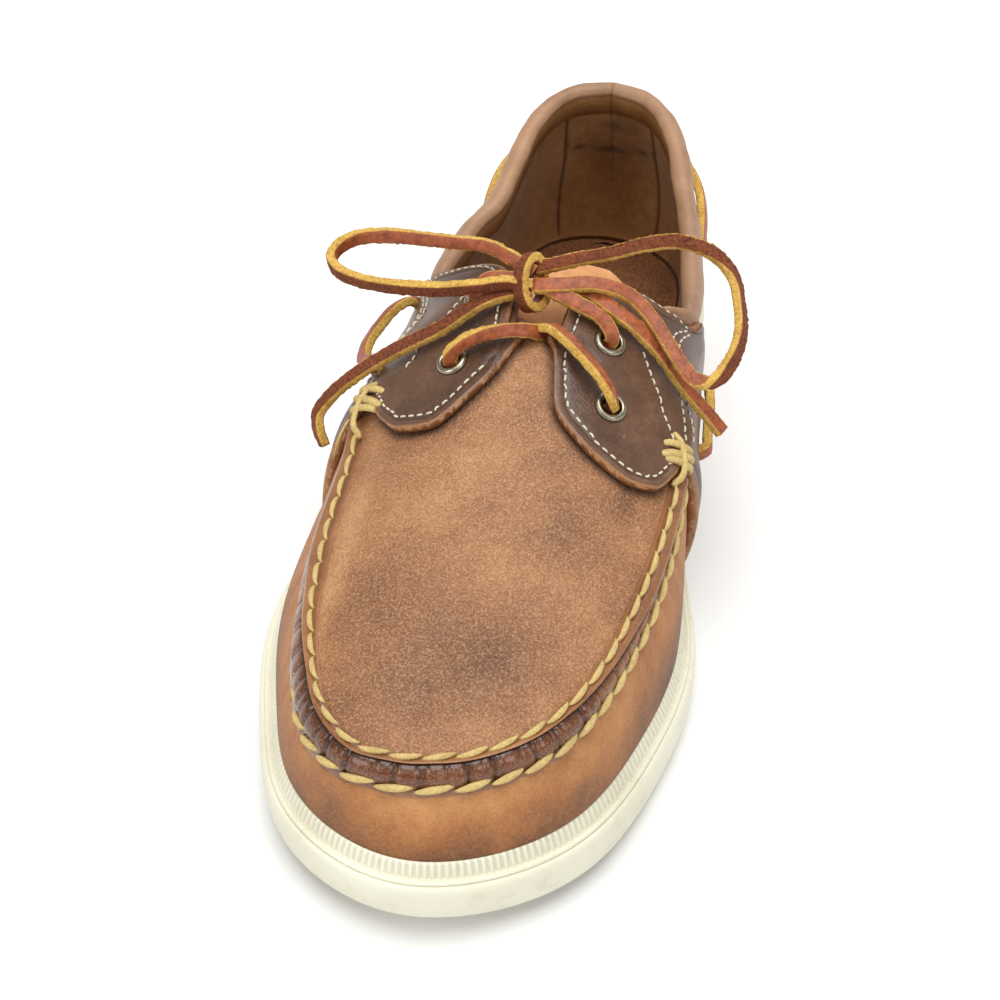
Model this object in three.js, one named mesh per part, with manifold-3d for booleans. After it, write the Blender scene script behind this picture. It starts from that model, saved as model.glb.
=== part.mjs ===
// Boat shoe for the right foot: moccasin upper with a hand-sewn seam round the toe, dark saddle
// flaps with two eyelets a side, a padded collar, a rubber unit sole and a rawhide lace in a bow.
// Millimetres, +Z up. The toe points to -Y, +X is the inner (medial) side of the foot, and the
// origin is on the ground under the middle of the heel.
import * as THREE from 'three';
import { mergeVertices } from 'three/addons/utils/BufferGeometryUtils.js';
import Module from 'manifold-3d';

const wasm = await Module();
wasm.setup();

// ---------- driving sizes ----------
const GAP = 0.3;               // clearance between pieces that meet
const FEATHER_INSET = 5;       // upper's foot, in from the edge of the sole
const FEATHER_HEIGHT = 19;     // top of the sole where the upper stands
const WALL = 2.2;              // leather and lining of the upper together
const SADDLE_THICK = 2.5;
const SADDLE_GAP = 0.45;       // under the overlays, whose facets follow a hollow curve
const BACKSTAY_THICK = 1.3;
const TOE_SPRING = 9;          // lift of the tread at the very toe
const SPRING_START = -185;     // where the tread leaves the ground
const SPRING_RUN = 77;
const ARCH_LIFT = 2.5;         // lift of the tread under the waist
const ARCH_FRONT = -112;
const ARCH_BACK = -42;
const BED_HEIGHT = 12.5;       // floor of the recess in the sole
const INSOLE_THICK = 3.5;
const COLLAR_WIDE = 8.4;
const COLLAR_HIGH = 7;
const COLLAR_GAP = 0.6;        // under its faceted roll
const TONGUE_THICK = 2.6;
const EYELET_OUTER = 9;
const EYELET_BORE = 5.4;
const EYELET_HOLE = 6.6;       // hole punched in the leather
const LACE = 3.4;              // side of the lace's square section
const STATION_STEP = 0.3;      // spacing of stations round the shoe, in outline rows
const WALL_STEPS = 4;          // mesh rows from the sole to the seam
const TOP_STEPS = 5;           // mesh rows from the seam to the top edge

// A table is a list of rows whose columns have names.
function table(columns, rows) {
  const names = columns.split(' ');
  return rows.map((row) => Object.fromEntries(names.map((name, i) => [name, row[i]])));
}

// Edge of the outsole seen from above, from the back of the heel by the inner side to the toe
// and back by the outer side. Row 9 is the tip of the toe.
const OUTLINE = table('x y', [
  [0, 38], [25, 28], [37, 2], [36.5, -40], [41, -80], [49.8, -124.8],
  [58.3, -165], [53.1, -205.1], [37.3, -241.5], [0.9, -261.9], [-34.5, -243.6], [-50.8, -210.3],
  [-59.9, -170.8], [-55, -130.4], [-47.5, -90.2], [-41.5, -45], [-37.5, -5], [-26, 27],
]);
const TOE_ROW = 9;

// Sections of the upper. "at" counts outline rows from the toe (0) to the heel (9). G is the
// shoulder, which is the hand-sewn seam from 0 to 4, and T is the top: the middle of the instep
// from 0 to 4, then the throat's edge and the collar. "bulge" swells the wall between sole and
// G, and "crown" rounds the leather between G and T.
const COLUMNS = 'at gx gy gz tx ty tz bulge crown';
const MEDIAL = table(COLUMNS, [
  [0, -1, -243.9, 47, -0.5, -233, 49.3, 1.5, 1],
  [0.5, 10.5, -240.7, 47, 0, -225.5, 50.9, 1.5, 1],
  [1, 24.5, -231, 47.1, 0.3, -215, 53.2, 2, 1],
  [1.5, 33.2, -218.3, 47.5, 0.8, -203, 55.8, 2.3, 1],
  [2, 39.8, -198.5, 48.6, 1.3, -190, 58.6, 2.5, 1],
  [3, 44.9, -165, 51.4, 2, -163, 66, 2.8, 1],
  [3.5, 45.9, -146, 53.6, 2.6, -141, 73, 3.2, 1],
  [4, 46.2, -127.5, 56.8, 3, -118, 80.5, 3.6, 1],
  [4.12, 46, -122.7, 57.6, 8.4, -117.3, 80.4, 3.4, 0.95],
  [4.5, 44.4, -108, 58.8, 10.8, -103.5, 84, 3.4, 0.9],
  [4.7, 43.7, -100.5, 59, 14, -97.5, 84.8, 3.8, 0.85],
  [5.1, 43, -87, 58.5, 32.5, -91, 75, 3.2, 0.6],
  [5.4, 42.8, -76, 56.5, 41.6, -82, 66.5, 3, 0.3],
  [6, 40.2, -45, 49, 37.2, -46, 60.5, 3, 0.1],
  [6.5, 37.5, -24, 46.5, 33.8, -27, 59.3, 2.4, 0],
  [7, 33.8, -4, 45.5, 29, -9, 61.5, 2, 0],
  [7.5, 29.2, 10, 46, 25.2, 5, 65.4, 1.8, 0],
  [8, 22, 22, 47, 18.8, 17, 69.4, 1.6, 0],
  [8.5, 11.5, 31.8, 47.3, 10.2, 24.8, 71, 1.5, 0],
  [9, 0, 35.2, 47.5, 0, 27.4, 71.5, 1.5, 0],
]);
const LATERAL = table(COLUMNS, [
  [0, -1, -243.9, 47, -0.5, -233, 49.3, 1.5, 1],
  [0.5, -12, -242.9, 47, 0, -225.5, 50.9, 1.5, 1],
  [1, -24.2, -232.6, 47.1, 0.3, -215, 53.2, 2, 1],
  [1.5, -31.6, -216, 47.6, 0.8, -203, 55.8, 2.3, 1],
  [2, -36.6, -197, 48.7, 1.3, -190, 58.6, 2.5, 1],
  [3, -39.5, -168, 51.2, 2, -163, 66, 2.8, 1],
  [3.5, -39.9, -147, 53.3, 2.6, -141, 73, 3.3, 1],
  [4, -42, -124.5, 56.3, 3, -118, 80.5, 3.8, 1],
  [4.12, -41.5, -119.7, 57, -2.4, -117.3, 80.4, 4, 0.92],
  [4.5, -38.8, -106, 58.4, -3.8, -103.5, 84.2, 4, 0.84],
  [4.7, -37, -99.5, 58.8, -7, -96.5, 85, 4, 0.74],
  [5.1, -36.6, -86, 58, -24.4, -86.5, 76.2, 3.2, 0.5],
  [5.4, -36.6, -75, 56.3, -33.4, -79, 66.8, 3, 0.25],
  [6, -36.2, -46, 49, -31.4, -47, 61, 2.6, 0.1],
  [6.5, -33, -25, 46.5, -26.9, -28, 60, 2.4, 0],
  [7, -30, -5, 45.5, -25.4, -9.5, 62.2, 2, 0],
  [7.5, -27, 9, 46, -23.6, 5, 65.8, 1.8, 0],
  [8, -20.8, 21.8, 47, -18.4, 17, 69.5, 1.6, 0],
  [8.5, -11.2, 31.6, 47.3, -10.1, 24.8, 71, 1.5, 0],
  [9, 0, 35.2, 47.5, 0, 27.4, 71.5, 1.5, 0],
]);
const SIDES = { medial: MEDIAL, lateral: LATERAL };
const THROAT_AT = 4;           // the throat opens behind this section
const HEEL_AT = 9;

// Front edge of each saddle flap, as the section that it reaches at each height on the upper:
// "up" is 0 at the sole, 0.5 at the shoulder and 1 at the top edge.
const FLAP = {
  medial: table('up at', [
    [0, 3.82], [0.3, 3.84], [0.47, 3.87], [0.505, 3.84], [0.52, 3.65], [0.556, 3.44], [0.644, 3.35],
    [0.742, 3.39], [0.819, 3.47], [0.876, 3.57], [0.925, 3.9], [0.96, 4.03], [1, 4.14],
  ]),
  lateral: table('up at', [
    [0, 3.86], [0.3, 3.88], [0.49, 3.92], [0.53, 3.88], [0.586, 3.66], [0.656, 3.5], [0.758, 3.44],
    [0.862, 3.6], [0.922, 3.72], [0.955, 3.85], [0.98, 4], [1, 4.14],
  ]),
};
const FLAP_BACK = table('up at', [[0, 5.2], [0.5, 5.32], [0.8, 5.4], [1, 5.4]]);

// ---------- curves ----------
// Closed smooth curve through rows of x and y: a periodic cubic spline.
function closedSpline(rows) {
  const n = rows.length;
  const wrap = (i) => ((i % n) + n) % n;
  const slopes = rows.map(() => ({ x: 0, y: 0 }));
  for (let pass = 0; pass < 40; pass += 1) {
    for (let i = 0; i < n; i += 1) {
      for (const k of ['x', 'y']) {
        const chord = 3 * (rows[wrap(i + 1)][k] - rows[wrap(i - 1)][k]);
        slopes[i][k] = (chord - slopes[wrap(i - 1)][k] - slopes[wrap(i + 1)][k]) / 4;
      }
    }
  }
  return (t) => {
    const i = Math.floor(t);
    const f = t - i;
    const [p, q, m, w] = [rows[wrap(i)], rows[wrap(i + 1)], slopes[wrap(i)], slopes[wrap(i + 1)]];
    const blend = (k) => (2 * f ** 3 - 3 * f * f + 1) * p[k] + (f ** 3 - 2 * f * f + f) * m[k]
      + (3 * f * f - 2 * f ** 3) * q[k] + (f ** 3 - f * f) * w[k];
    return new THREE.Vector2(blend('x'), blend('y'));
  };
}

// Smooth value of a table's column that never overshoots its rows.
function column(rows, key, name, t) {
  const last = rows.length - 2;
  let i = 0;
  while (i < last && t > rows[i + 1][key]) i += 1;
  const chord = (j) => (rows[j + 1][name] - rows[j][name]) / (rows[j + 1][key] - rows[j][key]);
  const slope = (j) => {
    if (j === 0) return chord(0);
    if (j === rows.length - 1) return chord(j - 1);
    const [a, b] = [chord(j - 1), chord(j)];
    return a * b > 0 ? (2 * a * b) / (a + b) : 0;
  };
  const span = rows[i + 1][key] - rows[i][key];
  const f = Math.min(Math.max((t - rows[i][key]) / span, 0), 1);
  return (2 * f ** 3 - 3 * f * f + 1) * rows[i][name] + (f ** 3 - 2 * f * f + f) * span * slope(i)
    + (3 * f * f - 2 * f ** 3) * rows[i + 1][name] + (f ** 3 - f * f) * span * slope(i + 1);
}

const outline = closedSpline(OUTLINE);
const turnOf = (side, at) => (side === 'medial' ? TOE_ROW - at : TOE_ROW + at);

// Outward direction of the outline, seen from above.
function outward(turn) {
  const step = outline(turn + 0.01).sub(outline(turn - 0.01)).normalize();
  return new THREE.Vector2(-step.y, step.x);
}
function insetOutline(turn, inset) {
  return outline(turn).addScaledVector(outward(turn), -inset);
}
const springAt = (y) => TOE_SPRING * Math.max((SPRING_START - y) / SPRING_RUN, 0) ** 2;
const archAt = (y) => {
  const f = Math.min(Math.max((y - ARCH_FRONT) / (ARCH_BACK - ARCH_FRONT), 0), 1);
  return ARCH_LIFT * Math.sin(Math.PI * f) ** 2;
};
const featherHeight = (y) => FEATHER_HEIGHT + 0.75 * springAt(y);

// ---------- the upper's outer face ----------
function facePoint(side, at, up) {
  const rows = SIDES[side];
  const read = (name) => column(rows, 'at', name, at);
  const turn = turnOf(side, at);
  const foot = insetOutline(turn, FEATHER_INSET);
  const G = new THREE.Vector3(read('gx'), read('gy'), read('gz'));
  if (up <= 0.5) {
    const s = up / 0.5;
    const F = new THREE.Vector3(foot.x, foot.y, featherHeight(foot.y) + GAP);
    const out = outward(turn);
    const swell = read('bulge') * 4 * s * (1 - s);
    return F.lerp(G, s).add(new THREE.Vector3(out.x, out.y, 0).multiplyScalar(swell));
  }
  const s = (up - 0.5) / 0.5;
  const T = new THREE.Vector3(read('tx'), read('ty'), read('tz'));
  const rise = (T.z - G.z) * read('crown') * (s - s * s);
  return G.lerp(T, s).add(new THREE.Vector3(0, 0, rise));
}

function faceNormal(side, at, up) {
  const e = 0.02;
  const clampUp = (u) => Math.min(Math.max(u, 0), 1);
  const clampAt = (a) => Math.min(Math.max(a, 0.001), HEEL_AT - 0.001);
  const along = facePoint(side, clampAt(at + e), up).sub(facePoint(side, clampAt(at - e), up));
  const rise = facePoint(side, at, clampUp(up + e)).sub(facePoint(side, at, clampUp(up - e)));
  const normal = along.cross(rise).normalize();
  return side === 'medial' ? normal : normal.negate();
}

// Point on the face moved outwards by "off". Where both sides meet on the middle line they share
// one point.
function shell(side, at, up, off) {
  const own = facePoint(side, at, up).addScaledVector(faceNormal(side, at, up), off);
  const onMiddle = (up > 0.999 && at <= THROAT_AT) || at < 0.001 || at > HEEL_AT - 0.001;
  if (!onMiddle) return own;
  const other = side === 'medial' ? 'lateral' : 'medial';
  const twin = facePoint(other, at, up).addScaledVector(faceNormal(other, at, up), off);
  return own.add(twin).multiplyScalar(0.5);
}

// ---------- meshes ----------
function toGeometry(points, faces) {
  const geometry = new THREE.BufferGeometry();
  geometry.setAttribute('position', new THREE.Float32BufferAttribute(points.flat(), 3));
  geometry.setIndex(faces.flat());
  const merged = mergeVertices(geometry, 1e-4);
  const index = merged.getIndex().array;
  const kept = [];
  let volume = 0;
  const [a, b, c] = [new THREE.Vector3(), new THREE.Vector3(), new THREE.Vector3()];
  for (let i = 0; i < index.length; i += 3) {
    const [p, q, r] = index.slice(i, i + 3);
    if (p === q || q === r || r === p) continue;
    kept.push([p, q, r]);
    a.fromBufferAttribute(merged.attributes.position, p);
    b.fromBufferAttribute(merged.attributes.position, q);
    c.fromBufferAttribute(merged.attributes.position, r);
    volume += a.dot(b.cross(c));
  }
  merged.setIndex((volume < 0 ? kept.map(([p, q, r]) => [p, r, q]) : kept).flat());
  return merged;
}

const quad = (a, b, c, d) => [[a, b, c], [a, c, d]];

// Closed plate between two grids of points, top and bottom, of the same size.
function plate(top, bottom) {
  const [rows, cols] = [top.length, top[0].length];
  const points = [...top.flat(), ...bottom.flat()].map((p) => p.toArray());
  const id = (layer, r, c) => layer * rows * cols + r * cols + c;
  const faces = [];
  for (let r = 0; r < rows - 1; r += 1) {
    for (let c = 0; c < cols - 1; c += 1) {
      faces.push(...quad(id(0, r, c), id(0, r, c + 1), id(0, r + 1, c + 1), id(0, r + 1, c)));
      faces.push(...quad(id(1, r, c), id(1, r + 1, c), id(1, r + 1, c + 1), id(1, r, c + 1)));
    }
  }
  for (let c = 0; c < cols - 1; c += 1) {
    faces.push(...quad(id(0, 0, c), id(1, 0, c), id(1, 0, c + 1), id(0, 0, c + 1)));
    const e = rows - 1;
    faces.push(...quad(id(0, e, c), id(0, e, c + 1), id(1, e, c + 1), id(1, e, c)));
  }
  for (let r = 0; r < rows - 1; r += 1) {
    faces.push(...quad(id(0, r, 0), id(0, r + 1, 0), id(1, r + 1, 0), id(1, r, 0)));
    const e = cols - 1;
    faces.push(...quad(id(0, r, e), id(1, r, e), id(1, r + 1, e), id(0, r + 1, e)));
  }
  return toGeometry(points, faces);
}

function toManifold(geometry) {
  const clean = geometry.clone();
  clean.deleteAttribute('normal');
  clean.deleteAttribute('uv');
  const merged = mergeVertices(clean, 1e-4);
  return new wasm.Manifold(new wasm.Mesh({
    numProp: 3,
    vertProperties: new Float32Array(merged.attributes.position.array),
    triVerts: new Uint32Array(merged.index.array),
  }));
}
function fromManifold(manifold) {
  const mesh = manifold.getMesh();
  const geometry = new THREE.BufferGeometry();
  geometry.setAttribute('position', new THREE.BufferAttribute(mesh.vertProperties, 3));
  geometry.setIndex(new THREE.BufferAttribute(mesh.triVerts, 1));
  return geometry;
}

const group = new THREE.Group();
group.name = 'boat_shoe';
function add(name, geometry, color, roughness, metalness = 0) {
  const mesh = new THREE.Mesh(geometry, new THREE.MeshStandardMaterial({ color, roughness, metalness }));
  mesh.name = name;
  geometry.computeVertexNormals();
  group.add(mesh);
  return mesh;
}

// Sections used all round: the rows of the table with even steps between them.
const STATIONS = [];
MEDIAL.slice(0, -1).forEach((row, i) => {
  const span = MEDIAL[i + 1].at - row.at;
  const steps = Math.ceil(span / STATION_STEP - 0.01);
  for (let k = 0; k < steps; k += 1) STATIONS.push(row.at + (span * k) / steps);
});
STATIONS.push(HEEL_AT);
// Once round the shoe: from the toe by the inner side to the heel and back by the outer side.
const ROUND = [
  ...STATIONS.map((at) => ['medial', at]),
  ...STATIONS.slice(1, -1).reverse().map((at) => ['lateral', at]),
];

// ---------- outsole ----------
// Point of the sole at a share of the way from the middle line to a point near the edge.
const MIDDLE_FRONT = 2;        // sections between which the middle line runs
const MIDDLE_BACK = 8;
function middle(at) {
  const a = Math.min(Math.max(at, MIDDLE_FRONT), MIDDLE_BACK);
  return outline(turnOf('medial', a)).add(outline(turnOf('lateral', a))).multiplyScalar(0.5);
}
// Height of a layer of the sole that lies "base" above the tread: spring and arch fade upwards.
const BEAD_HEIGHT = 15;
function layer(base, y) {
  const h = Math.min(base / BEAD_HEIGHT, 1);
  return base + springAt(y) * (1 - 0.25 * h) + archAt(y) * (1 - h);
}
function soleLoop({ inset, share, base }) {
  return ROUND.map(([side, at]) => {
    const edge = insetOutline(turnOf(side, at), inset);
    const p = middle(at).lerp(edge, share);
    return new THREE.Vector3(p.x, p.y, layer(base, p.y));
  });
}
// A lofted stack of loops whose first and last loops fold together on the middle line.
function stack(loops) {
  const n = loops[0].length;
  const points = loops.flat().map((p) => p.toArray());
  const faces = [];
  for (let j = 0; j < loops.length - 1; j += 1) {
    for (let i = 0; i < n; i += 1) {
      const m = (i + 1) % n;
      faces.push(...quad(j * n + i, j * n + m, (j + 1) * n + m, (j + 1) * n + i));
    }
  }
  return toGeometry(points, faces);
}
const RECESS_INSET = 7.9;
const SOLE = table('inset share base', [
  [1.8, 0, 0], [1.8, 0.55, 0], [1.8, 1, 0],         // tread
  [0.5, 1, 1.4], [0, 1, 6], [0, 1, 11],             // side wall
  [0.4, 1, 14.6], [2.2, 1, BEAD_HEIGHT],            // bead
  [4.7, 1, FEATHER_HEIGHT], [RECESS_INSET, 1, FEATHER_HEIGHT],   // welt strip and ledge
  [RECESS_INSET, 1, BED_HEIGHT], [RECESS_INSET, 0.55, BED_HEIGHT], [RECESS_INSET, 0, BED_HEIGHT],
]);
add('outsole', stack(SOLE.map(soleLoop)), 0xe9e4d3, 0.62);

// ---------- insole ----------
const INSOLE_INSET = RECESS_INSET + GAP;
const INSOLE_LOW = BED_HEIGHT + GAP;
const INSOLE_TOP = INSOLE_LOW + INSOLE_THICK;
const INSOLE = table('inset share base', [
  [INSOLE_INSET, 0, INSOLE_LOW], [INSOLE_INSET, 0.55, INSOLE_LOW], [INSOLE_INSET, 1, INSOLE_LOW],
  [INSOLE_INSET, 1, INSOLE_TOP], [INSOLE_INSET, 0.55, INSOLE_TOP], [INSOLE_INSET, 0, INSOLE_TOP],
]);
add('insole', stack(INSOLE.map(soleLoop)), 0x8a4f2a, 0.75);

// ---------- upper ----------
// Holes for the eyelets: where each sits on the face, as section and height.
const EYELETS = table('name side at up', [
  ['eyelet_medial_front', 'medial', 3.74, 0.729], ['eyelet_medial_back', 'medial', 4.27, 0.819],
  ['eyelet_lateral_front', 'lateral', 3.82, 0.788], ['eyelet_lateral_back', 'lateral', 4.43, 0.868],
]);
const AXIS = new THREE.Vector3(0, 0, 1);
function seat(hole, off) {
  const normal = faceNormal(hole.side, hole.at, hole.up);
  const centre = facePoint(hole.side, hole.at, hole.up).addScaledVector(normal, off);
  return { centre, turn: new THREE.Quaternion().setFromUnitVectors(AXIS, normal) };
}
const PUNCH_LONG = 16;
const PUNCH_SIDES = 14;
function punch(geometry, holes) {
  let solid = toManifold(geometry);
  for (const hole of holes) {
    const { centre, turn } = seat(hole, 0);
    const tool = new THREE.CylinderGeometry(EYELET_HOLE / 2, EYELET_HOLE / 2, PUNCH_LONG, PUNCH_SIDES);
    tool.rotateX(Math.PI / 2).applyQuaternion(turn).translate(...centre.toArray());
    solid = solid.subtract(toManifold(tool));
  }
  return fromManifold(solid);
}

function upperSolid() {
  const heights = [];
  for (let k = 0; k <= WALL_STEPS; k += 1) heights.push((0.5 * k) / WALL_STEPS);
  for (let k = 1; k <= TOP_STEPS; k += 1) heights.push(0.5 + (0.5 * k) / TOP_STEPS);
  const ring = (up, off) => ROUND.map(([side, at]) => {
    const p = shell(side, at, up, off);
    if (up === 0) p.z = featherHeight(p.y) + GAP;
    return p;
  });
  const loops = [
    ...heights.map((up) => ring(up, 0)),
    ...heights.slice().reverse().map((up) => ring(up, -WALL)),
  ];
  const n = ROUND.length;
  const rim = heights.length - 1;
  const points = loops.flat().map((p) => p.toArray());
  const faces = [];
  for (let j = 0; j < loops.length; j += 1) {
    const k = (j + 1) % loops.length;
    for (let i = 0; i < n; i += 1) {
      const m = (i + 1) % n;
      const closed = ROUND[i][1] <= THROAT_AT && ROUND[m][1] <= THROAT_AT;
      if (j === rim && closed) continue;
      faces.push(...quad(j * n + i, j * n + m, k * n + m, k * n + i));
    }
  }
  return toGeometry(points, faces);
}
add('upper', punch(upperSolid(), EYELETS), 0xa86f42, 0.55);

// ---------- saddle flaps ----------
const SADDLE_COLS = 10;
const SADDLE_UPS = [0.03, 0.15, 0.3, 0.42, 0.5, 0.525, 0.56, 0.63, 0.7, 0.78, 0.86, 0.92, 0.96, 0.985];
function saddle(side) {
  const grid = (off) => SADDLE_UPS.map((up) => {
    const front = column(FLAP[side], 'up', 'at', up);
    const back = column(FLAP_BACK, 'up', 'at', up);
    const row = [];
    for (let c = 0; c <= SADDLE_COLS; c += 1) {
      const at = front + ((back - front) * c) / SADDLE_COLS;
      row.push(shell(side, at, up, off));
    }
    return row;
  });
  const flap = plate(grid(SADDLE_GAP + SADDLE_THICK), grid(SADDLE_GAP));
  return punch(flap, EYELETS.filter((hole) => hole.side === side));
}
add('saddle_medial', saddle('medial'), 0x5e4338, 0.5);
add('saddle_lateral', saddle('lateral'), 0x5e4338, 0.5);

// ---------- backstay ----------
// A strap up the middle of the heel.
const BACKSTAY_HALF = 0.32;    // half its width, in outline rows
const BACKSTAY_UPS = [0.03, 0.25, 0.5, 0.75, 0.94];
const BACKSTAY_COLS = 6;
function backstay() {
  const grid = (off) => BACKSTAY_UPS.map((up) => {
    const row = [];
    for (let c = 0; c <= BACKSTAY_COLS; c += 1) {
      const across = (2 * c) / BACKSTAY_COLS - 1;
      const at = HEEL_AT - Math.abs(across) * BACKSTAY_HALF;
      row.push(shell(across < 0 ? 'lateral' : 'medial', at, up, off));
    }
    return row;
  });
  return plate(grid(SADDLE_GAP + BACKSTAY_THICK), grid(SADDLE_GAP));
}
add('backstay', backstay(), 0x8f5f3c, 0.5);

// ---------- collar ----------
// A padded roll that stands on the top edge from one saddle round the heel to the other.
const COLLAR_START = 5.34;
const COLLAR_SIDES = 10;
const COLLAR_STEP = 0.26;
const END_SHARE = 0.55;        // size of the roll's first section, and its growth a section
const END_GROWTH = 0.3;
const END_SINK = 0.6;          // how far its thin ends drop towards the edge
function collar() {
  const stops = [];
  const steps = Math.round((HEEL_AT - COLLAR_START) / COLLAR_STEP);
  for (let k = 0; k <= steps; k += 1) {
    stops.push(['medial', COLLAR_START + ((HEEL_AT - COLLAR_START) * k) / steps]);
  }
  for (let k = steps - 1; k >= 0; k -= 1) stops.push(['lateral', stops[k][1]]);
  const centres = stops.map(([side, at]) => {
    const p = shell(side, at, 1, -WALL / 2);
    p.z += COLLAR_HIGH / 2 + COLLAR_GAP;
    return p;
  });
  const loops = centres.map((p, i) => {
    const ahead = centres[Math.min(i + 1, centres.length - 1)];
    const behind = centres[Math.max(i - 1, 0)];
    const along = ahead.clone().sub(behind).normalize();
    const across = new THREE.Vector3(-along.y, along.x, 0).normalize();
    const upward = along.clone().cross(across).multiplyScalar(-1);
    if (upward.z < 0) upward.negate();
    const taper = Math.min(1, END_SHARE + END_GROWTH * Math.min(i, centres.length - 1 - i));
    const sink = 0.5 * COLLAR_HIGH * (1 - taper) * END_SINK;
    const loop = [];
    for (let k = 0; k < COLLAR_SIDES; k += 1) {
      const angle = (2 * Math.PI * (k + 0.5)) / COLLAR_SIDES;
      loop.push(p.clone()
        .addScaledVector(across, 0.5 * COLLAR_WIDE * taper * Math.cos(angle))
        .addScaledVector(upward, 0.5 * COLLAR_HIGH * taper * Math.sin(angle) - sink));
    }
    return loop;
  });
  const shut = (loop) => {
    const centre = loop.reduce((sum, p) => sum.add(p), new THREE.Vector3()).divideScalar(loop.length);
    return loop.map(() => centre.clone());
  };
  return stack([shut(loops[0]), ...loops, shut(loops[loops.length - 1])]);
}
add('collar', collar(), 0x9c7e68, 0.6);

// ---------- tongue ----------
// A tongue of leather from under the front of the throat to just past the flaps, leaning to the
// inner side. "y" runs back along it, "x" and "z" are its middle, "half" is half its width and
// "drop" is how far its edges lie below its middle.
const TONGUE = table('y x z half drop', [
  [-131, 2.8, 71.6, 17, 4.5], [-124, 2.9, 72.4, 18, 4.8], [-117, 3.2, 73.8, 18, 5], [-110, 4.2, 75.6, 18, 5],
  [-103, 5.4, 77.4, 18, 5], [-96, 6.8, 79.4, 18, 4.6], [-90, 8, 81.2, 17, 4], [-85.5, 8.7, 82.6, 13.5, 2.6],
  [-83, 9.1, 83.4, 8.5, 1],
]);
const TONGUE_COLS = 8;
function tongue() {
  const grid = (off) => TONGUE.map((row) => {
    const line = [];
    for (let c = 0; c <= TONGUE_COLS; c += 1) {
      const across = (2 * c) / TONGUE_COLS - 1;
      line.push(new THREE.Vector3(row.x + across * row.half, row.y, row.z - row.drop * across ** 2 + off));
    }
    return line;
  });
  return plate(grid(0), grid(-TONGUE_THICK));
}
add('tongue', tongue(), 0xa9744a, 0.65);

// ---------- eyelets ----------
const EYELET_SEGMENTS = 14;
const FLANGE_LOW = SADDLE_GAP + SADDLE_THICK + GAP;
function eyelet(hole) {
  const bore = EYELET_BORE / 2;
  const profile = [
    [bore, -WALL - 0.6], [bore + 0.3, -WALL - 0.6], [bore + 0.3, FLANGE_LOW], [EYELET_OUTER / 2, FLANGE_LOW],
    [EYELET_OUTER / 2 - 0.3, FLANGE_LOW + 0.6], [bore + 0.9, FLANGE_LOW + 1], [bore, FLANGE_LOW + 0.4],
    [bore, -WALL - 0.6],
  ].map(([r, z]) => new THREE.Vector2(r, z));
  const { centre, turn } = seat(hole, 0);
  const ring = new THREE.LatheGeometry(profile, EYELET_SEGMENTS);
  ring.rotateX(Math.PI / 2).applyQuaternion(turn).translate(...centre.toArray());
  return fromManifold(toManifold(ring));
}
EYELETS.forEach((hole) => add(hole.name, eyelet(hole), 0x9a927c, 0.35, 0.9));

// ---------- lace ----------
const LACE_SIDES = 8;
const LACE_STEP = 6.5;
function lace(points, step = LACE_STEP) {
  const path = new THREE.CatmullRomCurve3(points.map((p) => new THREE.Vector3(...p)));
  const shape = new THREE.Shape();
  for (let k = 0; k < LACE_SIDES; k += 1) {
    const angle = (2 * Math.PI * k) / LACE_SIDES;
    const [x, y] = [0.5 * LACE * Math.cos(angle), 0.5 * LACE * Math.sin(angle)];
    if (k === 0) shape.moveTo(x, y);
    else shape.lineTo(x, y);
  }
  shape.closePath();
  const steps = Math.max(4, Math.round(path.getLength() / step));
  const settings = { steps, curveSegments: 1, bevelEnabled: false, extrudePath: path };
  return new THREE.ExtrudeGeometry(shape, settings);
}
// From a point inside an eyelet's bore straight out along its axis.
const bore = (index, ...offs) => offs.map((off) => seat(EYELETS[index], off).centre.toArray());

// Strand A comes out of the outer front eyelet and dives under the inner flap. Strand B comes out
// of the inner front eyelet, crosses over A and dives under the outer flap.
const STRAND_A = [
  ...bore(2, -2.5, 1, 5), [-14.5, -127.6, 83.4], [-10.5, -125.4, 84.9], [-4.4, -123.1, 85.8],
  [1, -120.8, 85.2], [4.2, -118, 83], [6.4, -114.6, 80], [9, -112.2, 77.1], [14, -110, 77],
];
const STRAND_B = [
  ...bore(0, -2.5, 1, 5), [25.6, -133.1, 80.6], [20.4, -128.6, 83.4], [14, -123.6, 85.8],
  [9.4, -120, 86.2], [5, -116.5, 83.4], [1, -112.4, 79.8], [-3.3, -108.4, 78], [-9, -105.5, 78],
];
const CROSSING_STEP = 4;
const crossing = toManifold(lace(STRAND_A, CROSSING_STEP)).add(toManifold(lace(STRAND_B, CROSSING_STEP)));
add('lace_crossing', fromManifold(crossing), 0x9a4f2a, 0.85);

// The knot, with the two strands that rise to it out of the back eyelets.
const KNOT = new THREE.Vector3(0.5, -106, 91.6);
const KNOT_RADII = [6, 5.4, 5.4];
const RISE_MEDIAL = [
  ...bore(1, -2.5, 1, 5), [21, -112.8, 86.6], [15.2, -111.4, 88.7], [9.1, -109.4, 90], [3, -107, 91],
];
const RISE_LATERAL = [...bore(3, -2.5, 1, 5), [-12.2, -106.2, 89.4], [-7, -106, 90.6], [-2, -106, 91]];
function knot() {
  const ball = new THREE.SphereGeometry(1, 10, 7);
  ball.scale(...KNOT_RADII).translate(...KNOT.toArray());
  const clean = toGeometry(
    Array.from({ length: ball.attributes.position.count },
      (_, i) => new THREE.Vector3().fromBufferAttribute(ball.attributes.position, i).toArray()),
    [Array.from(ball.index.array)],
  );
  return [RISE_MEDIAL, RISE_LATERAL].reduce(
    (solid, route) => solid.add(toManifold(lace(route, CROSSING_STEP))), toManifold(clean));
}
add('lace_knot', fromManifold(knot()), 0x8c4526, 0.85);

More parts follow.
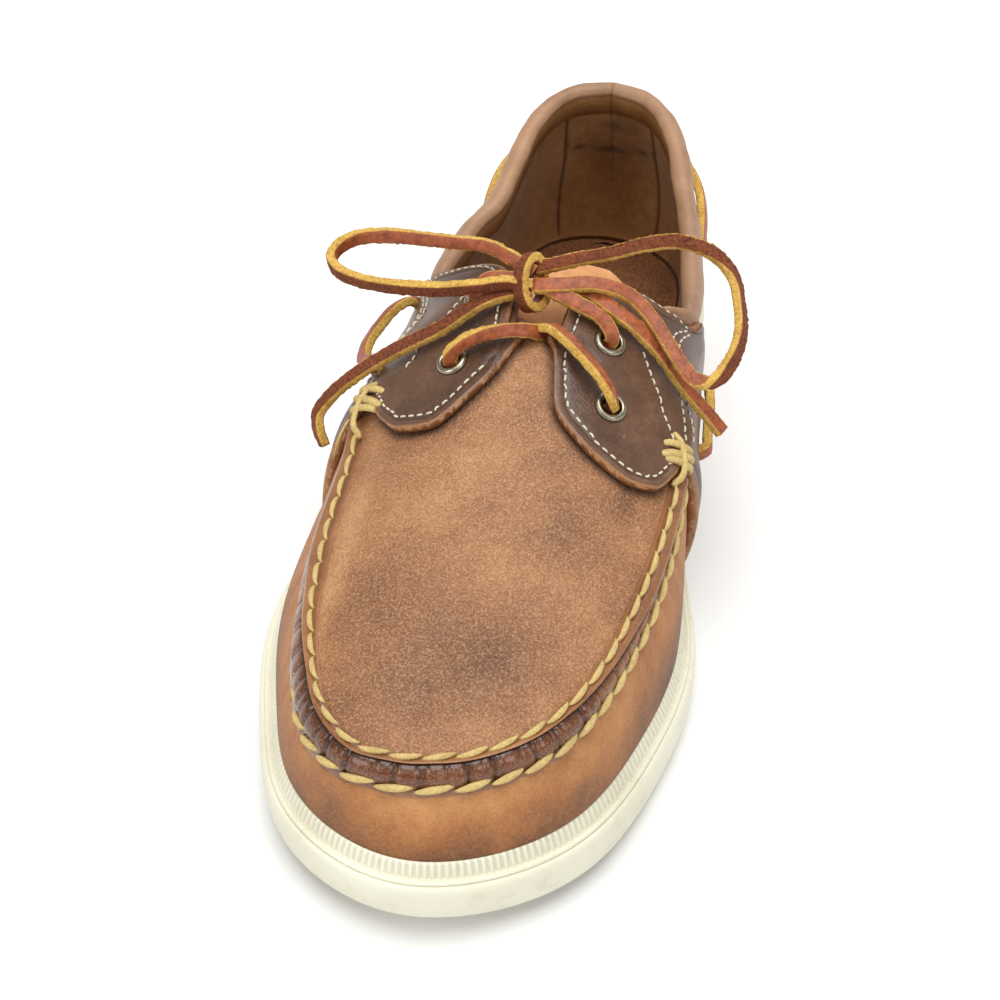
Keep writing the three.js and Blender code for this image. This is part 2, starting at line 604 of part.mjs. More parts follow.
const LOOP_LATERAL = [
  [-6.4, -101, 94.4], [-14.1, -97.2, 94.6], [-25.4, -95.9, 93.6], [-37.1, -93.4, 91.8], [-45.9, -92.1, 90.3],
  [-52.9, -92.8, 88.8], [-57, -95.6, 87.2], [-58.2, -99.4, 86], [-55, -104.4, 85.3], [-46.6, -108.2, 85.5],
  [-37.4, -110.8, 87], [-23.3, -113.5, 90], [-13, -113.4, 92.4], [-5.6, -110.6, 93.8],
];
const LOOP_MEDIAL = [
  [7.4, -100.6, 94.4], [12, -98.6, 95], [19.2, -93.9, 94.6], [29.1, -84.6, 93.2], [37.1, -79, 91.3],
  [46.1, -79.1, 89], [52.3, -83.6, 86], [55.9, -93, 83], [57.8, -103.7, 80], [56.2, -114.6, 77.4],
  [52.6, -121, 76.2], [48.6, -121.6, 76.4], [44.4, -118.4, 78], [39.6, -113.6, 81.2], [33.7, -107.8, 85.2],
  [26.4, -104.6, 89.6], [18.1, -105, 92.6], [8.6, -106.2, 94],
];
const END_LATERAL = [
  [-6.4, -110.8, 88.8], [-12, -114.2, 87.6], [-22, -119.8, 81.6], [-29.1, -120.8, 77], [-36.6, -121, 71.4],
  [-42.9, -121, 66], [-49, -121.5, 60.4], [-54.3, -122.8, 54.4], [-57, -124.9, 50], [-56.4, -127, 46],
  [-54.6, -128.4, 42],
];
const END_MEDIAL = [
  [7.6, -103.4, 88.8], [15.8, -105, 88.6], [23.1, -108.6, 86.9], [29, -110.2, 84], [36.8, -112.2, 77.6],
  [45.2, -115.4, 68.6], [51, -116.3, 62.4], [56.1, -117.5, 57],
];
add('lace_loop_lateral', lace(LOOP_LATERAL), 0x9a4f2a, 0.85);
add('lace_loop_medial', lace(LOOP_MEDIAL), 0x9a4f2a, 0.85);
add('lace_end_lateral', lace(END_LATERAL), 0x9a4f2a, 0.85);
add('lace_end_medial', lace(END_MEDIAL), 0x9a4f2a, 0.85);

// Side runs of the lace, each from one hole to the next along the outside of the shoe. A run
// lies close at its ends and stands off a little more in between.
const RUN_OFF = LACE / 2 + GAP + 0.15;
const RUN_RISE = 0.5;
const RUN_STEP = 3.4;
const ON_SADDLE = SADDLE_GAP + SADDLE_THICK;
const RUNS = table('name side up from to base', [
  ['lace_side_medial_front', 'medial', 0.36, 4.28, 5.05, ON_SADDLE],
  ['lace_side_medial_back', 'medial', 0.82, 6.5, 7.7, 0],
  ['lace_side_lateral_back', 'lateral', 0.82, 6.5, 7.7, 0],
]);
function sideRun({ side, up, from, to, base }) {
  return [0, 0.1, 0.3, 0.5, 0.7, 0.9, 1].map((f) => {
    const off = base + RUN_OFF + RUN_RISE * Math.sin(Math.PI * f);
    return shell(side, from + (to - from) * f, up, off).toArray();
  });
}
RUNS.forEach((run) => add(run.name, lace(sideRun(run), RUN_STEP), 0xc99a3c, 0.85));

// The outer front run hangs slack in a bight.
const SLACK_RUN = [
  shell('lateral', 5.16, 0.57, ON_SADDLE + RUN_OFF).toArray(),
  [-43.2, -88.6, 63.4], [-47, -95, 60.2], [-48.6, -100.6, 58.4], [-48.2, -106, 58.2], [-46.2, -111.4, 60.2],
  shell('lateral', 4.2, 0.53, ON_SADDLE + RUN_OFF).toArray(),
];
add('lace_side_lateral_front', lace(SLACK_RUN, RUN_STEP), 0xc99a3c, 0.85);

export default group;
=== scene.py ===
"""Looks of a boat shoe for the right foot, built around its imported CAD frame.

The CAD frame is in metres, +Z up, toe towards -Y, inner side of the foot towards +X, origin on
the ground under the heel. Sizes below are in millimetres, and MM turns them into metres.
"""
import math

import bmesh
import bpy
import numpy as np
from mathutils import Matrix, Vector


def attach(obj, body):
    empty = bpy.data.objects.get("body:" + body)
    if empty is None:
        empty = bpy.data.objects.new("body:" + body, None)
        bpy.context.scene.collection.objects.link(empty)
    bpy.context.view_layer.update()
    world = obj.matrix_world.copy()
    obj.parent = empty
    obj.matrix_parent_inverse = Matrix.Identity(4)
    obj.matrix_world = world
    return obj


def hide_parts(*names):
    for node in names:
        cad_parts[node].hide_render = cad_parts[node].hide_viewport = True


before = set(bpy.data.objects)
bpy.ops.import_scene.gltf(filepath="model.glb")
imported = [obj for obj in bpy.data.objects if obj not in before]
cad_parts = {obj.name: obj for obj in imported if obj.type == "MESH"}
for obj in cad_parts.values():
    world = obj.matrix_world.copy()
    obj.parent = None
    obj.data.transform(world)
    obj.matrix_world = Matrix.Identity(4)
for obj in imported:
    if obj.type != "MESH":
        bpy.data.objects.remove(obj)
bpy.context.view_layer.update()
MM = 0.001

# ---------------------------------------------------------------------------------------------
# Camera: a long lens in front of the toe, a little to the inner side, looking down on the shoe.
# ---------------------------------------------------------------------------------------------
CAMERA_PLACE = Vector((94.2, -579.7, 426.7)) * MM
CAMERA_TARGET = Vector((-1.4, -139.0, 40.0)) * MM
CAMERA_LENS, CAMERA_FILM = 77.5, 36.0


def stand(thing, place, target):
    """Put a camera or a lamp at a place in metres and point it at a target."""
    thing.location = place
    thing.rotation_euler = (Vector(target) - Vector(place)).to_track_quat("-Z", "Y").to_euler()
    bpy.context.scene.collection.objects.link(thing)


camera = bpy.data.objects.new("camera", bpy.data.cameras.new("camera"))
camera.data.lens = CAMERA_LENS
camera.data.sensor_width = CAMERA_FILM
stand(camera, CAMERA_PLACE, CAMERA_TARGET)
bpy.context.scene.camera = camera

# ---------------------------------------------------------------------------------------------
# The last: the wooden foot form over which the leather is pulled. It is a set of sections round
# the shoe, counted from the toe (0) to the heel (9) on each side. G is the shoulder, where the
# hand-sewn seam runs in front, and T is the top: the instep's middle, the throat and the collar.
# ---------------------------------------------------------------------------------------------
OUTLINE = np.array([
    (0, 38), (25, 28), (37, 2), (36.5, -40), (41, -80), (49.8, -124.8), (58.3, -165), (53.1, -205.1),
    (37.3, -241.5), (0.9, -261.9), (-34.5, -243.6), (-50.8, -210.3), (-59.9, -170.8), (-55, -130.4),
    (-47.5, -90.2), (-41.5, -45), (-37.5, -5), (-26, 27),
], float)
TOE_ROW = 9
HEEL_AT = 9.0
THROAT_AT = 4.0
FEATHER_INSET = 5.0
FEATHER_HEIGHT = 19.3
WALL = 2.2
SECTION_COLUMNS = "at gx gy gz tx ty tz bulge crown".split()
SECTIONS = {
    "medial": np.array([
        (0, -1, -243.9, 47, -0.5, -233, 49.3, 1.5, 1),
        (0.5, 10.5, -240.7, 47, 0, -225.5, 50.9, 1.5, 1),
        (1, 24.5, -231, 47.1, 0.3, -215, 53.2, 2, 1),
        (1.5, 33.2, -218.3, 47.5, 0.8, -203, 55.8, 2.3, 1),
        (2, 39.8, -198.5, 48.6, 1.3, -190, 58.6, 2.5, 1),
        (3, 44.9, -165, 51.4, 2, -163, 66, 2.8, 1),
        (3.5, 45.9, -146, 53.6, 2.6, -141, 73, 3.2, 1),
        (4, 46.2, -127.5, 56.8, 3, -118, 80.5, 3.6, 1),
        (4.12, 46, -122.7, 57.6, 8.4, -117.3, 80.4, 3.4, 0.95),
        (4.5, 44.4, -108, 58.8, 10.8, -103.5, 84, 3.4, 0.9),
        (4.7, 43.7, -100.5, 59, 14, -97.5, 84.8, 3.8, 0.85),
        (5.1, 43, -87, 58.5, 32.5, -91, 75, 3.2, 0.6),
        (5.4, 42.8, -76, 56.5, 41.6, -82, 66.5, 3, 0.3),
        (6, 40.2, -45, 49, 37.2, -46, 60.5, 3, 0.1),
        (6.5, 37.5, -24, 46.5, 33.8, -27, 59.3, 2.4, 0),
        (7, 33.8, -4, 45.5, 29, -9, 61.5, 2, 0),
        (7.5, 29.2, 10, 46, 25.2, 5, 65.4, 1.8, 0),
        (8, 22, 22, 47, 18.8, 17, 69.4, 1.6, 0),
        (8.5, 11.5, 31.8, 47.3, 10.2, 24.8, 71, 1.5, 0),
        (9, 0, 35.2, 47.5, 0, 27.4, 71.5, 1.5, 0),
    ], float),
    "lateral": np.array([
        (0, -1, -243.9, 47, -0.5, -233, 49.3, 1.5, 1),
        (0.5, -12, -242.9, 47, 0, -225.5, 50.9, 1.5, 1),
        (1, -24.2, -232.6, 47.1, 0.3, -215, 53.2, 2, 1),
        (1.5, -31.6, -216, 47.6, 0.8, -203, 55.8, 2.3, 1),
        (2, -36.6, -197, 48.7, 1.3, -190, 58.6, 2.5, 1),
        (3, -39.5, -168, 51.2, 2, -163, 66, 2.8, 1),
        (3.5, -39.9, -147, 53.3, 2.6, -141, 73, 3.3, 1),
        (4, -42, -124.5, 56.3, 3, -118, 80.5, 3.8, 1),
        (4.12, -41.5, -119.7, 57, -2.4, -117.3, 80.4, 4, 0.92),
        (4.5, -38.8, -106, 58.4, -3.8, -103.5, 84.2, 4, 0.84),
        (4.7, -37, -99.5, 58.8, -7, -96.5, 85, 4, 0.74),
        (5.1, -36.6, -86, 58, -24.4, -86.5, 76.2, 3.2, 0.5),
        (5.4, -36.6, -75, 56.3, -33.4, -79, 66.8, 3, 0.25),
        (6, -36.2, -46, 49, -31.4, -47, 61, 2.6, 0.1),
        (6.5, -33, -25, 46.5, -26.9, -28, 60, 2.4, 0),
        (7, -30, -5, 45.5, -25.4, -9.5, 62.2, 2, 0),
        (7.5, -27, 9, 46, -23.6, 5, 65.8, 1.8, 0),
        (8, -20.8, 21.8, 47, -18.4, 17, 69.5, 1.6, 0),
        (8.5, -11.2, 31.6, 47.3, -10.1, 24.8, 71, 1.5, 0),
        (9, 0, 35.2, 47.5, 0, 27.4, 71.5, 1.5, 0),
    ], float),
}


def unit(v):
    return v / np.maximum(np.linalg.norm(v, axis=-1, keepdims=True), 1e-9)


def hermite(f, p, q, m, w):
    """Cubic from p to q with end slopes m and w."""
    start = (2 * f**3 - 3 * f**2 + 1) * p + (f**3 - 2 * f**2 + f) * m
    return start + (3 * f**2 - 2 * f**3) * q + (f**3 - f**2) * w


def closed_slopes(rows):
    """Slopes of the smooth closed curve through rows of points."""
    n = len(rows)
    band = 4 * np.eye(n) + np.roll(np.eye(n), 1, 1) + np.roll(np.eye(n), -1, 1)
    return np.linalg.solve(band, 3 * (np.roll(rows, -1, 0) - np.roll(rows, 1, 0)))


OUTLINE_SLOPES = closed_slopes(OUTLINE)


def outline(turn):
    """Edge of the sole seen from above, as a smooth closed curve. Row 9 is the tip of the toe."""
    turn = np.asarray(turn, float)
    row = np.floor(turn).astype(int)
    f = (turn - row)[..., None]
    a, b = row % len(OUTLINE), (row + 1) % len(OUTLINE)
    return hermite(f, OUTLINE[a], OUTLINE[b], OUTLINE_SLOPES[a], OUTLINE_SLOPES[b])


def outward(turn):
    """Way out of the shoe, seen from above, at a turn of the outline."""
    step = unit(outline(turn + 0.01) - outline(turn - 0.01))
    return np.stack([-step[..., 1], step[..., 0]], -1)


def inset_outline(turn, inset):
    """The outline drawn in by a distance."""
    return outline(turn) - outward(turn) * np.asarray(inset)[..., None]


def column(x, y):
    """Smooth function through the rows of a table that never overshoots them."""
    x, y = np.asarray(x, float), np.asarray(y, float)
    span = np.diff(x)
    chord = np.diff(y) / span
    slope = np.concatenate([chord[:1], np.zeros(len(x) - 2), chord[-1:]])
    for j in range(1, len(x) - 1):
        a, b = chord[j - 1], chord[j]
        slope[j] = 2 * a * b / (a + b) if a * b > 0 else 0.0

    def read(t):
        t = np.asarray(t, float)
        i = np.clip(np.searchsorted(x, t, side="left") - 1, 0, len(x) - 2)
        f = np.clip((t - x[i]) / span[i], 0, 1)
        return hermite(f, y[i], y[i + 1], span[i] * slope[i], span[i] * slope[i + 1])

    return read


READ = {
    side: {name: column(rows[:, 0], rows[:, k]) for k, name in enumerate(SECTION_COLUMNS)}
    for side, rows in SECTIONS.items()
}
TOE_SPRING, SPRING_START, SPRING_RUN = 9.0, -185.0, 77.0
FOOT_SPRING = 0.75
ARCH_LIFT, ARCH_FRONT, ARCH_BACK = 2.5, -112.0, -42.0


def spring(y):
    """How far the toe end curves up from the ground. The foot bed takes FOOT_SPRING of it."""
    return TOE_SPRING * np.maximum((SPRING_START - y) / SPRING_RUN, 0) ** 2


def arch(y):
    share = np.clip((y - ARCH_FRONT) / (ARCH_BACK - ARCH_FRONT), 0, 1)
    return ARCH_LIFT * np.sin(math.pi * share) ** 2


def turn_of(side, at):
    return TOE_ROW - at if side == "medial" else TOE_ROW + at


def face(side, at, up):
    """Point on the outside of the upper: up is 0 at the sole, 0.5 at the shoulder, 1 at the top."""
    at, up = np.broadcast_arrays(np.asarray(at, float), np.asarray(up, float))
    row = {name: read(at) for name, read in READ[side].items()}
    turn = turn_of(side, at)
    foot = inset_outline(turn, FEATHER_INSET)
    foot = np.stack([foot[..., 0], foot[..., 1], FEATHER_HEIGHT + FOOT_SPRING * spring(foot[..., 1])], -1)
    shoulder = np.stack([row["gx"], row["gy"], row["gz"]], -1)
    top = np.stack([row["tx"], row["ty"], row["tz"]], -1)
    out = outward(turn)
    out = np.concatenate([out, np.zeros(out.shape[:-1] + (1,))], -1)
    s = np.clip(up / 0.5, 0, 1)[..., None]
    low = foot + (shoulder - foot) * s + out * (row["bulge"][..., None] * 4 * s * (1 - s))
    s = np.clip((up - 0.5) / 0.5, 0, 1)[..., None]
    high = shoulder + (top - shoulder) * s
    high[..., 2] += (top[..., 2] - shoulder[..., 2]) * row["crown"] * (s - s * s)[..., 0]
    return np.where((up <= 0.5)[..., None], low, high)


def normal(side, at, up):
    """Way out of the face, square to a short step along it and one up it."""
    step, first, last = 0.02, 0.001, 8.999
    along = face(side, np.clip(at + step, first, last), up) - face(side, np.clip(at - step, first, last), up)
    rise = face(side, at, np.clip(up + step, 0, 1)) - face(side, at, np.clip(up - step, 0, 1))
    out = unit(np.cross(along, rise))
    return out if side == "medial" else -out


def shell(side, at, up, off=0.0):
    """Point on the face moved outwards by off. The two sides share their middle line."""
    at, up, off = np.broadcast_arrays(np.asarray(at, float), np.asarray(up, float), np.asarray(off, float))
    own = face(side, at, up) + normal(side, at, up) * off[..., None]
    other = "lateral" if side == "medial" else "medial"
    twin = face(other, at, up) + normal(other, at, up) * off[..., None]
    middle = ((up > 0.999) & (at <= THROAT_AT)) | (at < 0.001) | (at > HEEL_AT - 0.001)
    return np.where(middle[..., None], (own + twin) / 2, own)


# ---------------------------------------------------------------------------------------------
# Outsole: one moulding of off-white rubber with a smooth side wall, a beaded edge, a ribbed
# welt strip round the upper and fine wavy grooves cut across the tread.
# ---------------------------------------------------------------------------------------------
WELD_REACH = 0.002


class Wire:
    """One output of a material's nodes. Arithmetic on wires adds the nodes that work it out."""

    def __init__(self, tree, socket=None):
        self.tree, self.socket = tree, socket

    def node(self, kind, inputs=(), out=0, stops=(), **settings):
        made = self.tree.nodes.new("ShaderNode" + kind)
        for name, value in settings.items():
            setattr(made, name, value)
        for i, (place, value) in enumerate(stops):
            stop = made.color_ramp.elements[i] if i < 2 else made.color_ramp.elements.new(place)
            stop.position, stop.color = place, (value, value, value, 1)
        for key, value in dict(inputs).items():
            if isinstance(value, Wire):
                self.tree.links.new(value.socket, made.inputs[key])
            else:
                made.inputs[key].default_value = value
        return Wire(self.tree, made.outputs[out])

    def math(self, operation, a, b=0.0, **settings):
        return self.node("Math", {0: a, 1: b}, operation=operation, **settings)

    def __add__(self, other):
        return self.math("ADD", self, other)

    def __sub__(self, other):
        return self.math("SUBTRACT", self, other)

    def __rsub__(self, other):
        return self.math("SUBTRACT", other, self)

    def __mul__(self, other):
        return self.math("MULTIPLY", self, other)

    def __pow__(self, other):
        return self.math("POWER", self, other)

    __radd__ = __add__
    __rmul__ = __mul__

    def held(self):
        """The same value kept between 0 and 1."""
        return self.math("ADD", self, 0.0, use_clamp=True)

    def between(self, low, high):
        """0 below low, 1 above high, and even in between."""
        return self.node("MapRange", {"Value": self, "From Min": low, "From Max": high})


def rgb(red, green, blue):
    """Linear colour of a shade that is given as on a colour card, 0 to 255."""
    shares = [v / 255 for v in (red, green, blue)]
    return tuple(v / 12.92 if v <= 0.04045 else ((v + 0.055) / 1.055) ** 2.4 for v in shares) + (1.0,)


def noise(paint, scale, detail=3.0, stretch=(1, 1, 1), roughness=0.5, distortion=0.0):
    """Noise whose grains are 1/scale of a metre, drawn out along an axis by a smaller stretch."""
    place = paint.node("TexCoord", out=3)
    place = paint.node("Mapping", {"Vector": place, "Scale": stretch})
    return paint.node("TexNoise", {"Vector": place, "Scale": scale, "Detail": detail,
                                   "Roughness": roughness, "Distortion": distortion})


def cells(paint, scale, feature="F1"):
    place = paint.node("TexCoord", out=3)
    return paint.node("TexVoronoi", {"Vector": place, "Scale": scale}, feature=feature)


def mask(paint, name):
    """A value painted on the mesh when it was made."""
    return paint.node("Attribute", out=2, attribute_name=name)


def mix(a, b, share):
    """Colour a turning into colour b."""
    return share.node("Mix", {0: share, 6: a, 7: b}, out=2, data_type="RGBA")


def material(name, draw, **constants):
    """Material whose draw(paint) gives its colour, roughness, height and the height's size in mm."""
    made = bpy.data.materials.new(name)
    made.use_nodes = True
    made.node_tree.nodes.clear()
    paint = Wire(made.node_tree)
    colour, rough, height, depth = draw(paint)
    bump = paint.node("Bump", {"Height": height, "Strength": 1.0, "Distance": depth * MM})
    shader = made.node_tree.nodes.new("ShaderNodeBsdfPrincipled")
    for key, value in constants.items():
        shader.inputs[key.replace("_", " ").title().replace("Ior", "IOR")].default_value = value
    for key, value in (("Base Color", colour), ("Roughness", rough), ("Normal", bump)):
        if isinstance(value, Wire):
            made.node_tree.links.new(value.socket, shader.inputs[key])
        else:
            shader.inputs[key].default_value = value
    end = made.node_tree.nodes.new("ShaderNodeOutputMaterial")
    made.node_tree.links.new(shader.outputs[0], end.inputs[0])
    return made


def grid_faces(rows, cols, wrap=False, start=0):
    """Quads of a grid of points; wrap joins its last column to its first."""
    r, c = np.meshgrid(np.arange(rows - 1), np.arange(cols if wrap else cols - 1), indexing="ij")
    d = (c + 1) % cols
    quads = np.stack([r * cols + c, r * cols + d, (r + 1) * cols + d, (r + 1) * cols + c], -1)
    return quads.reshape(-1, 4) + start


def new_mesh(name, points, faces, masks=(), weld=False):
    """Mesh of points in millimetres with its faces turned outwards. Masks are painted on it."""
    mesh = bpy.data.meshes.new(name)
    corners = (np.asarray(points).reshape(-1, 3) * MM).tolist()
    mesh.from_pydata(corners, [], [list(map(int, f)) for f in faces])
    for key, values in dict(masks).items():
        painted = mesh.attributes.new(key, "FLOAT", "POINT")
        painted.data.foreach_set("value", np.ravel(values).astype(np.float32))
    shaped = bmesh.new()
    shaped.from_mesh(mesh)
    if weld:
        bmesh.ops.remove_doubles(shaped, verts=shaped.verts, dist=WELD_REACH * MM)
    bmesh.ops.recalc_face_normals(shaped, faces=shaped.faces)
    shaped.to_mesh(mesh)
    shaped.free()
    return mesh


def piece(name, points, faces, paint, masks=(), weld=True):
    """Smooth object of one material. It rides on the shoe's one body."""
    mesh = new_mesh(name, points, faces, masks, weld)
    mesh.polygons.foreach_set("use_smooth", [True] * len(mesh.polygons))
    mesh.materials.append(paint)
    made = bpy.data.objects.new(name, mesh)
    bpy.context.scene.collection.objects.link(made)
    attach(made, "root")
    return made


def tube_faces(loops, count, closed=False, start=0):
    """Quads that join rings of count points each; an open tube gets flat ends."""
    faces = grid_faces(loops, count, wrap=True, start=start).tolist()
    first = [start + i for i in range(count)]
    last = [corner + (loops - 1) * count for corner in first]
    if closed:
        faces += [[last[i - 1], last[i], first[i], first[i - 1]] for i in [*range(1, count), 0]]
    else:
        faces += [first[::-1], last]
    return faces


BEAD_BASE = 15.0


def sole_height(base, y):
    """Height of a layer that lies base above the tread. Spring and arch fade towards the bead."""
    share = min(base / BEAD_BASE, 1)
    return base + spring(y) * (1 - (1 - FOOT_SPRING) * share) + arch(y) * (1 - share)


def on_layer(edge, base):
    """The points of an edge seen from above, at the height of a layer."""
    return np.column_stack([edge, sole_height(base, edge[:, 1])])


def rubber(paint):
    """Off-white rubber, a little yellowed, with faint grey dirt in clouds and painted shade in its grooves.
    """
    blotch = noise(paint, 22, 4).between(0.35, 0.75)
    dirt = noise(paint, 160, 5, roughness=0.65).between(0.55, 0.8)
    colour = mix(rgb(233, 230, 210), rgb(218, 213, 189), blotch)
    # The groove mask adds painted shade in the tread cuts and between the welt's ribs, on top of the faint
    # dirt.
    colour = mix(colour, rgb(176, 168, 146), (dirt * 0.35 + mask(paint, "groove") * 0.36).held())
    rough = blotch * 0.12 + 0.5
    return colour, rough, noise(paint, 1500, 2) + noise(paint, 260, 3) * 2.0, 0.06


SOLE_STEPS = 900
SOLE_PROFILE = [
    # inset and base: bottom edge, side wall, groove, bead, ledge under the welt strip
    (5, 0), (3.2, 0), (2.2, 0.15), (1.4, 0.7), (0.8, 1.7), (0.4, 3.2), (0.15, 5), (0, 7), (0, 9),
    (0.05, 11), (0.25, 12.4), (0.6, 13.4), (1.0, 13.95), (1.45, 14.0), (1.7, 13.7), (2.6, 13.8), (5.5, 15),
    (7.9, 15),
]
rubber_paint = material("sole_rubber", rubber, specular_ior_level=0.4)
RECESS_INSET, RECESS_BASE = 7.9, 12.5
RECESS_SHARES = (1.0, 0.7, 0.35, 0.0)
TREAD_INSET = 9
TREAD_SHARES = np.linspace(0, 1, 52)
GROOVE_PITCH, GROOVE_WAVE, GROOVE_DEPTH = 5.2, 9.0, 1.1
GROOVE_SWING, GROOVE_HALF, GROOVE_END = 0.8, 0.16, 0.97


def run_length(line):
    """Length of a line from its start to each of its points."""
    return np.concatenate([[0], np.cumsum(np.linalg.norm(np.diff(line, axis=0), axis=1))])


def even_turns(count):
    """Turns that share the sole's edge out evenly."""
    fine = np.linspace(0, len(OUTLINE), 4001)
    run = run_length(outline(fine))
    return np.interp(np.linspace(0, run[-1], count, endpoint=False), run, fine), run[-1]


def to_middle(turns, inset, base, share):
    """Ring of the sole, drawn in to the sole's middle line as share goes from 1 to 0. Its two
    halves end on the same points there, so that they weld."""
    at = np.abs(turns - TOE_ROW)
    at = np.clip((at + np.roll(at[::-1], 1)) / 2, 2, 8)
    middle = (outline(TOE_ROW - at) + outline(TOE_ROW + at)) / 2
    return on_layer(middle + (inset_outline(turns, inset) - middle) * share, base)


def tread_groove(ring):
    """1 in the fine zigzag cuts across the tread, which stop short of its edge."""
    zigzag = np.abs((ring[:, 0] / GROOVE_WAVE) % 2 - 1)
    place = ((ring[:, 1] + zigzag * GROOVE_PITCH * GROOVE_SWING) / GROOVE_PITCH) % 1
    return np.clip(1 - np.abs(place - 0.5) / GROOVE_HALF, 0, 1)


sole_turns, sole_round = even_turns(SOLE_STEPS)
sole_rings, sole_groove_shade = [], []
for share in TREAD_SHARES:
    ring = to_middle(sole_turns, TREAD_INSET, 0, share)
    cut = tread_groove(ring) * (share < GROOVE_END)
    ring[:, 2] += cut * GROOVE_DEPTH
    sole_rings.append(ring)
    # Painted shade in the tread cuts.
    sole_groove_shade.append(cut)
sole_rings += [on_layer(inset_outline(sole_turns, inset), base) for inset, base in SOLE_PROFILE]
sole_rings += [to_middle(sole_turns, RECESS_INSET, RECESS_BASE, share) for share in RECESS_SHARES]
sole_groove_shade += [np.zeros(SOLE_STEPS)] * (len(sole_rings) - len(sole_groove_shade))
outsole = piece("outsole_moulding", sole_rings, grid_faces(len(sole_rings), SOLE_STEPS, wrap=True),
                rubber_paint, {"groove": sole_groove_shade})
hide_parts("outsole")

RIB_PITCH, RIB_STEPS, RIB_HIGH, RIB_SQUARE = 2.0, 6, 0.34, 2.2
BEAD_PITCH, BEAD_DIP = 1.7, 0.1
WELT_PROFILE = [
    # inset, base, share of the rib and of the bead's notches
    (1.75, 13.6, 0, 0), (1.6, 14.25, 0, 1), (1.85, 14.85, 0, 1), (2.35, 15.15, 0, 1), (2.85, 14.95, 0, 1),
    (3.1, 14.45, 0, 0), (3.3, 14.7, 0.4, 0), (3.6, 15.4, 1, 0), (4.0, 16.4, 1, 0), (4.4, 17.4, 1, 0),
    (4.8, 18.4, 1, 0), (5.2, 19.1, 0.4, 0), (5.7, 19.2, 0, 0), (6.3, 19.0, 0, 0), (6.3, 14.2, 0, 0),
    (3.0, 13.0, 0, 0),
]
rib_count = round(sole_round / RIB_PITCH)
welt_turns, _ = even_turns(rib_count * RIB_STEPS)
welt_around = 2 * math.pi * np.arange(len(welt_turns))
rib_wave = np.tanh(RIB_SQUARE * np.cos(welt_around / RIB_STEPS))
bead_wave = np.cos(welt_around * round(sole_round / BEAD_PITCH) / len(welt_turns))
welt_rings, welt_groove_shade = [], []
for inset, base, rib, bead in WELT_PROFILE:
    rise = rib * RIB_HIGH * rib_wave + bead * BEAD_DIP * bead_wave
    ring = on_layer(inset_outline(welt_turns, inset - 0.7 * rise), base)
    ring[:, 2] += 0.5 * rise
    welt_rings.append(ring)
    # Painted shade between the welt's ribs.
    welt_groove_shade.append(rib * np.clip(0.4 - rib_wave * 0.6, 0, 1))
welt_rings.append(welt_rings[0])
welt_groove_shade.append(welt_groove_shade[0])
piece("welt_strip", welt_rings, grid_faces(len(welt_rings), len(welt_turns), wrap=True),
      rubber_paint, {"groove": welt_groove_shade})

# ---------------------------------------------------------------------------------------------
# Upper: the vamp wall and the pebbled plug of oiled tan leather, sewn together round the toe,
# with the quarters behind. The leather is pulled over the last, so it is smooth and lightly
# rippled where the seam gathers it.
# ---------------------------------------------------------------------------------------------
LEATHER = 1.3
STATIONS = np.linspace(0, HEEL_AT, 301)
WALL_UPS = np.linspace(0, 0.5, 18)
TOP_UPS = np.linspace(0.5, 1, 34)[1:]
UPPER_UPS = np.concatenate([WALL_UPS, TOP_UPS])
SEAM_PITCH = 8.0
GATHER_PITCH, GATHER_HIGH = 5.3, 0.42
SEAM_END = {"medial": 3.84, "lateral": 3.88}
OUTER_ROW = {
    "medial": column([0, 0.5, 1, 1.7, 2.5, 4], [0.37, 0.372, 0.375, 0.39, 0.4, 0.43]),
    "lateral": column([0, 0.5, 0.9, 1.3, 2.2, 4], [0.37, 0.362, 0.34, 0.325, 0.34, 0.42]),
}
seam_run = {side: run_length(face(side, STATIONS, 0.5)) for side in SECTIONS}


def seam_length(side, at):
    """Length of the seam from the middle of the toe, which is less than nothing on the outer side."""
    run = np.interp(at, STATIONS, seam_run[side])
    return run if side == "medial" else -run


def lump(value, middle, width):
    """Soft hump of height 1."""
    return np.exp(-(((value - middle) / width) ** 2))


PLUG_FOLDS = [
    # soft troughs and ridges on the plug: from x y to x y, depth and half width
    (41, -166, 34, -150, -0.9, 3.0), (38, -158, 30, -146, 0.5, 3.0), (-34, -150, -20, -141, -0.5, 4.0),
    (-8, -146, 16, -150, -0.35, 5.0), (-26, -176, -8, -182, 0.3, 7.0), (12, -196, 28, -188, -0.3, 6.0),
    (-20, -214, 6, -219, 0.25, 6.0), (4, -168, 26, -172, 0.3, 6.0),
]


def folds(points, table):
    total = np.zeros(points.shape[:-1])
    for x0, y0, x1, y1, depth, width in table:
        a, b = np.array([x0, y0], float), np.array([x1, y1], float)
        run = b - a
        share = np.clip(((points[..., :2] - a) @ run) / (run @ run), 0, 1)
        away = np.linalg.norm(points[..., :2] - (a + share[..., None] * run), axis=-1)
        total += depth * np.exp(-((away / width) ** 2)) * (0.35 + 0.65 * np.sin(math.pi * share))
    return total


def gather(side, at, up):
    """Ripples that the hand-sewn seam leaves in the vamp wall below it."""
    run = seam_length(side, at)
    below = np.clip((OUTER_ROW[side](at) - up) / 0.25, 0, 1)
    near = np.clip(1 - below, 0, 1) ** 2 * (up < 0.5)
    ripple = np.cos(2 * math.pi * run / SEAM_PITCH) + 0.5 * np.cos(2 * math.pi * run / GATHER_PITCH + 1.0)
    fade = np.clip((SEAM_END[side] - at) / 0.4, 0, 1)
    return GATHER_HIGH * ripple * near * fade


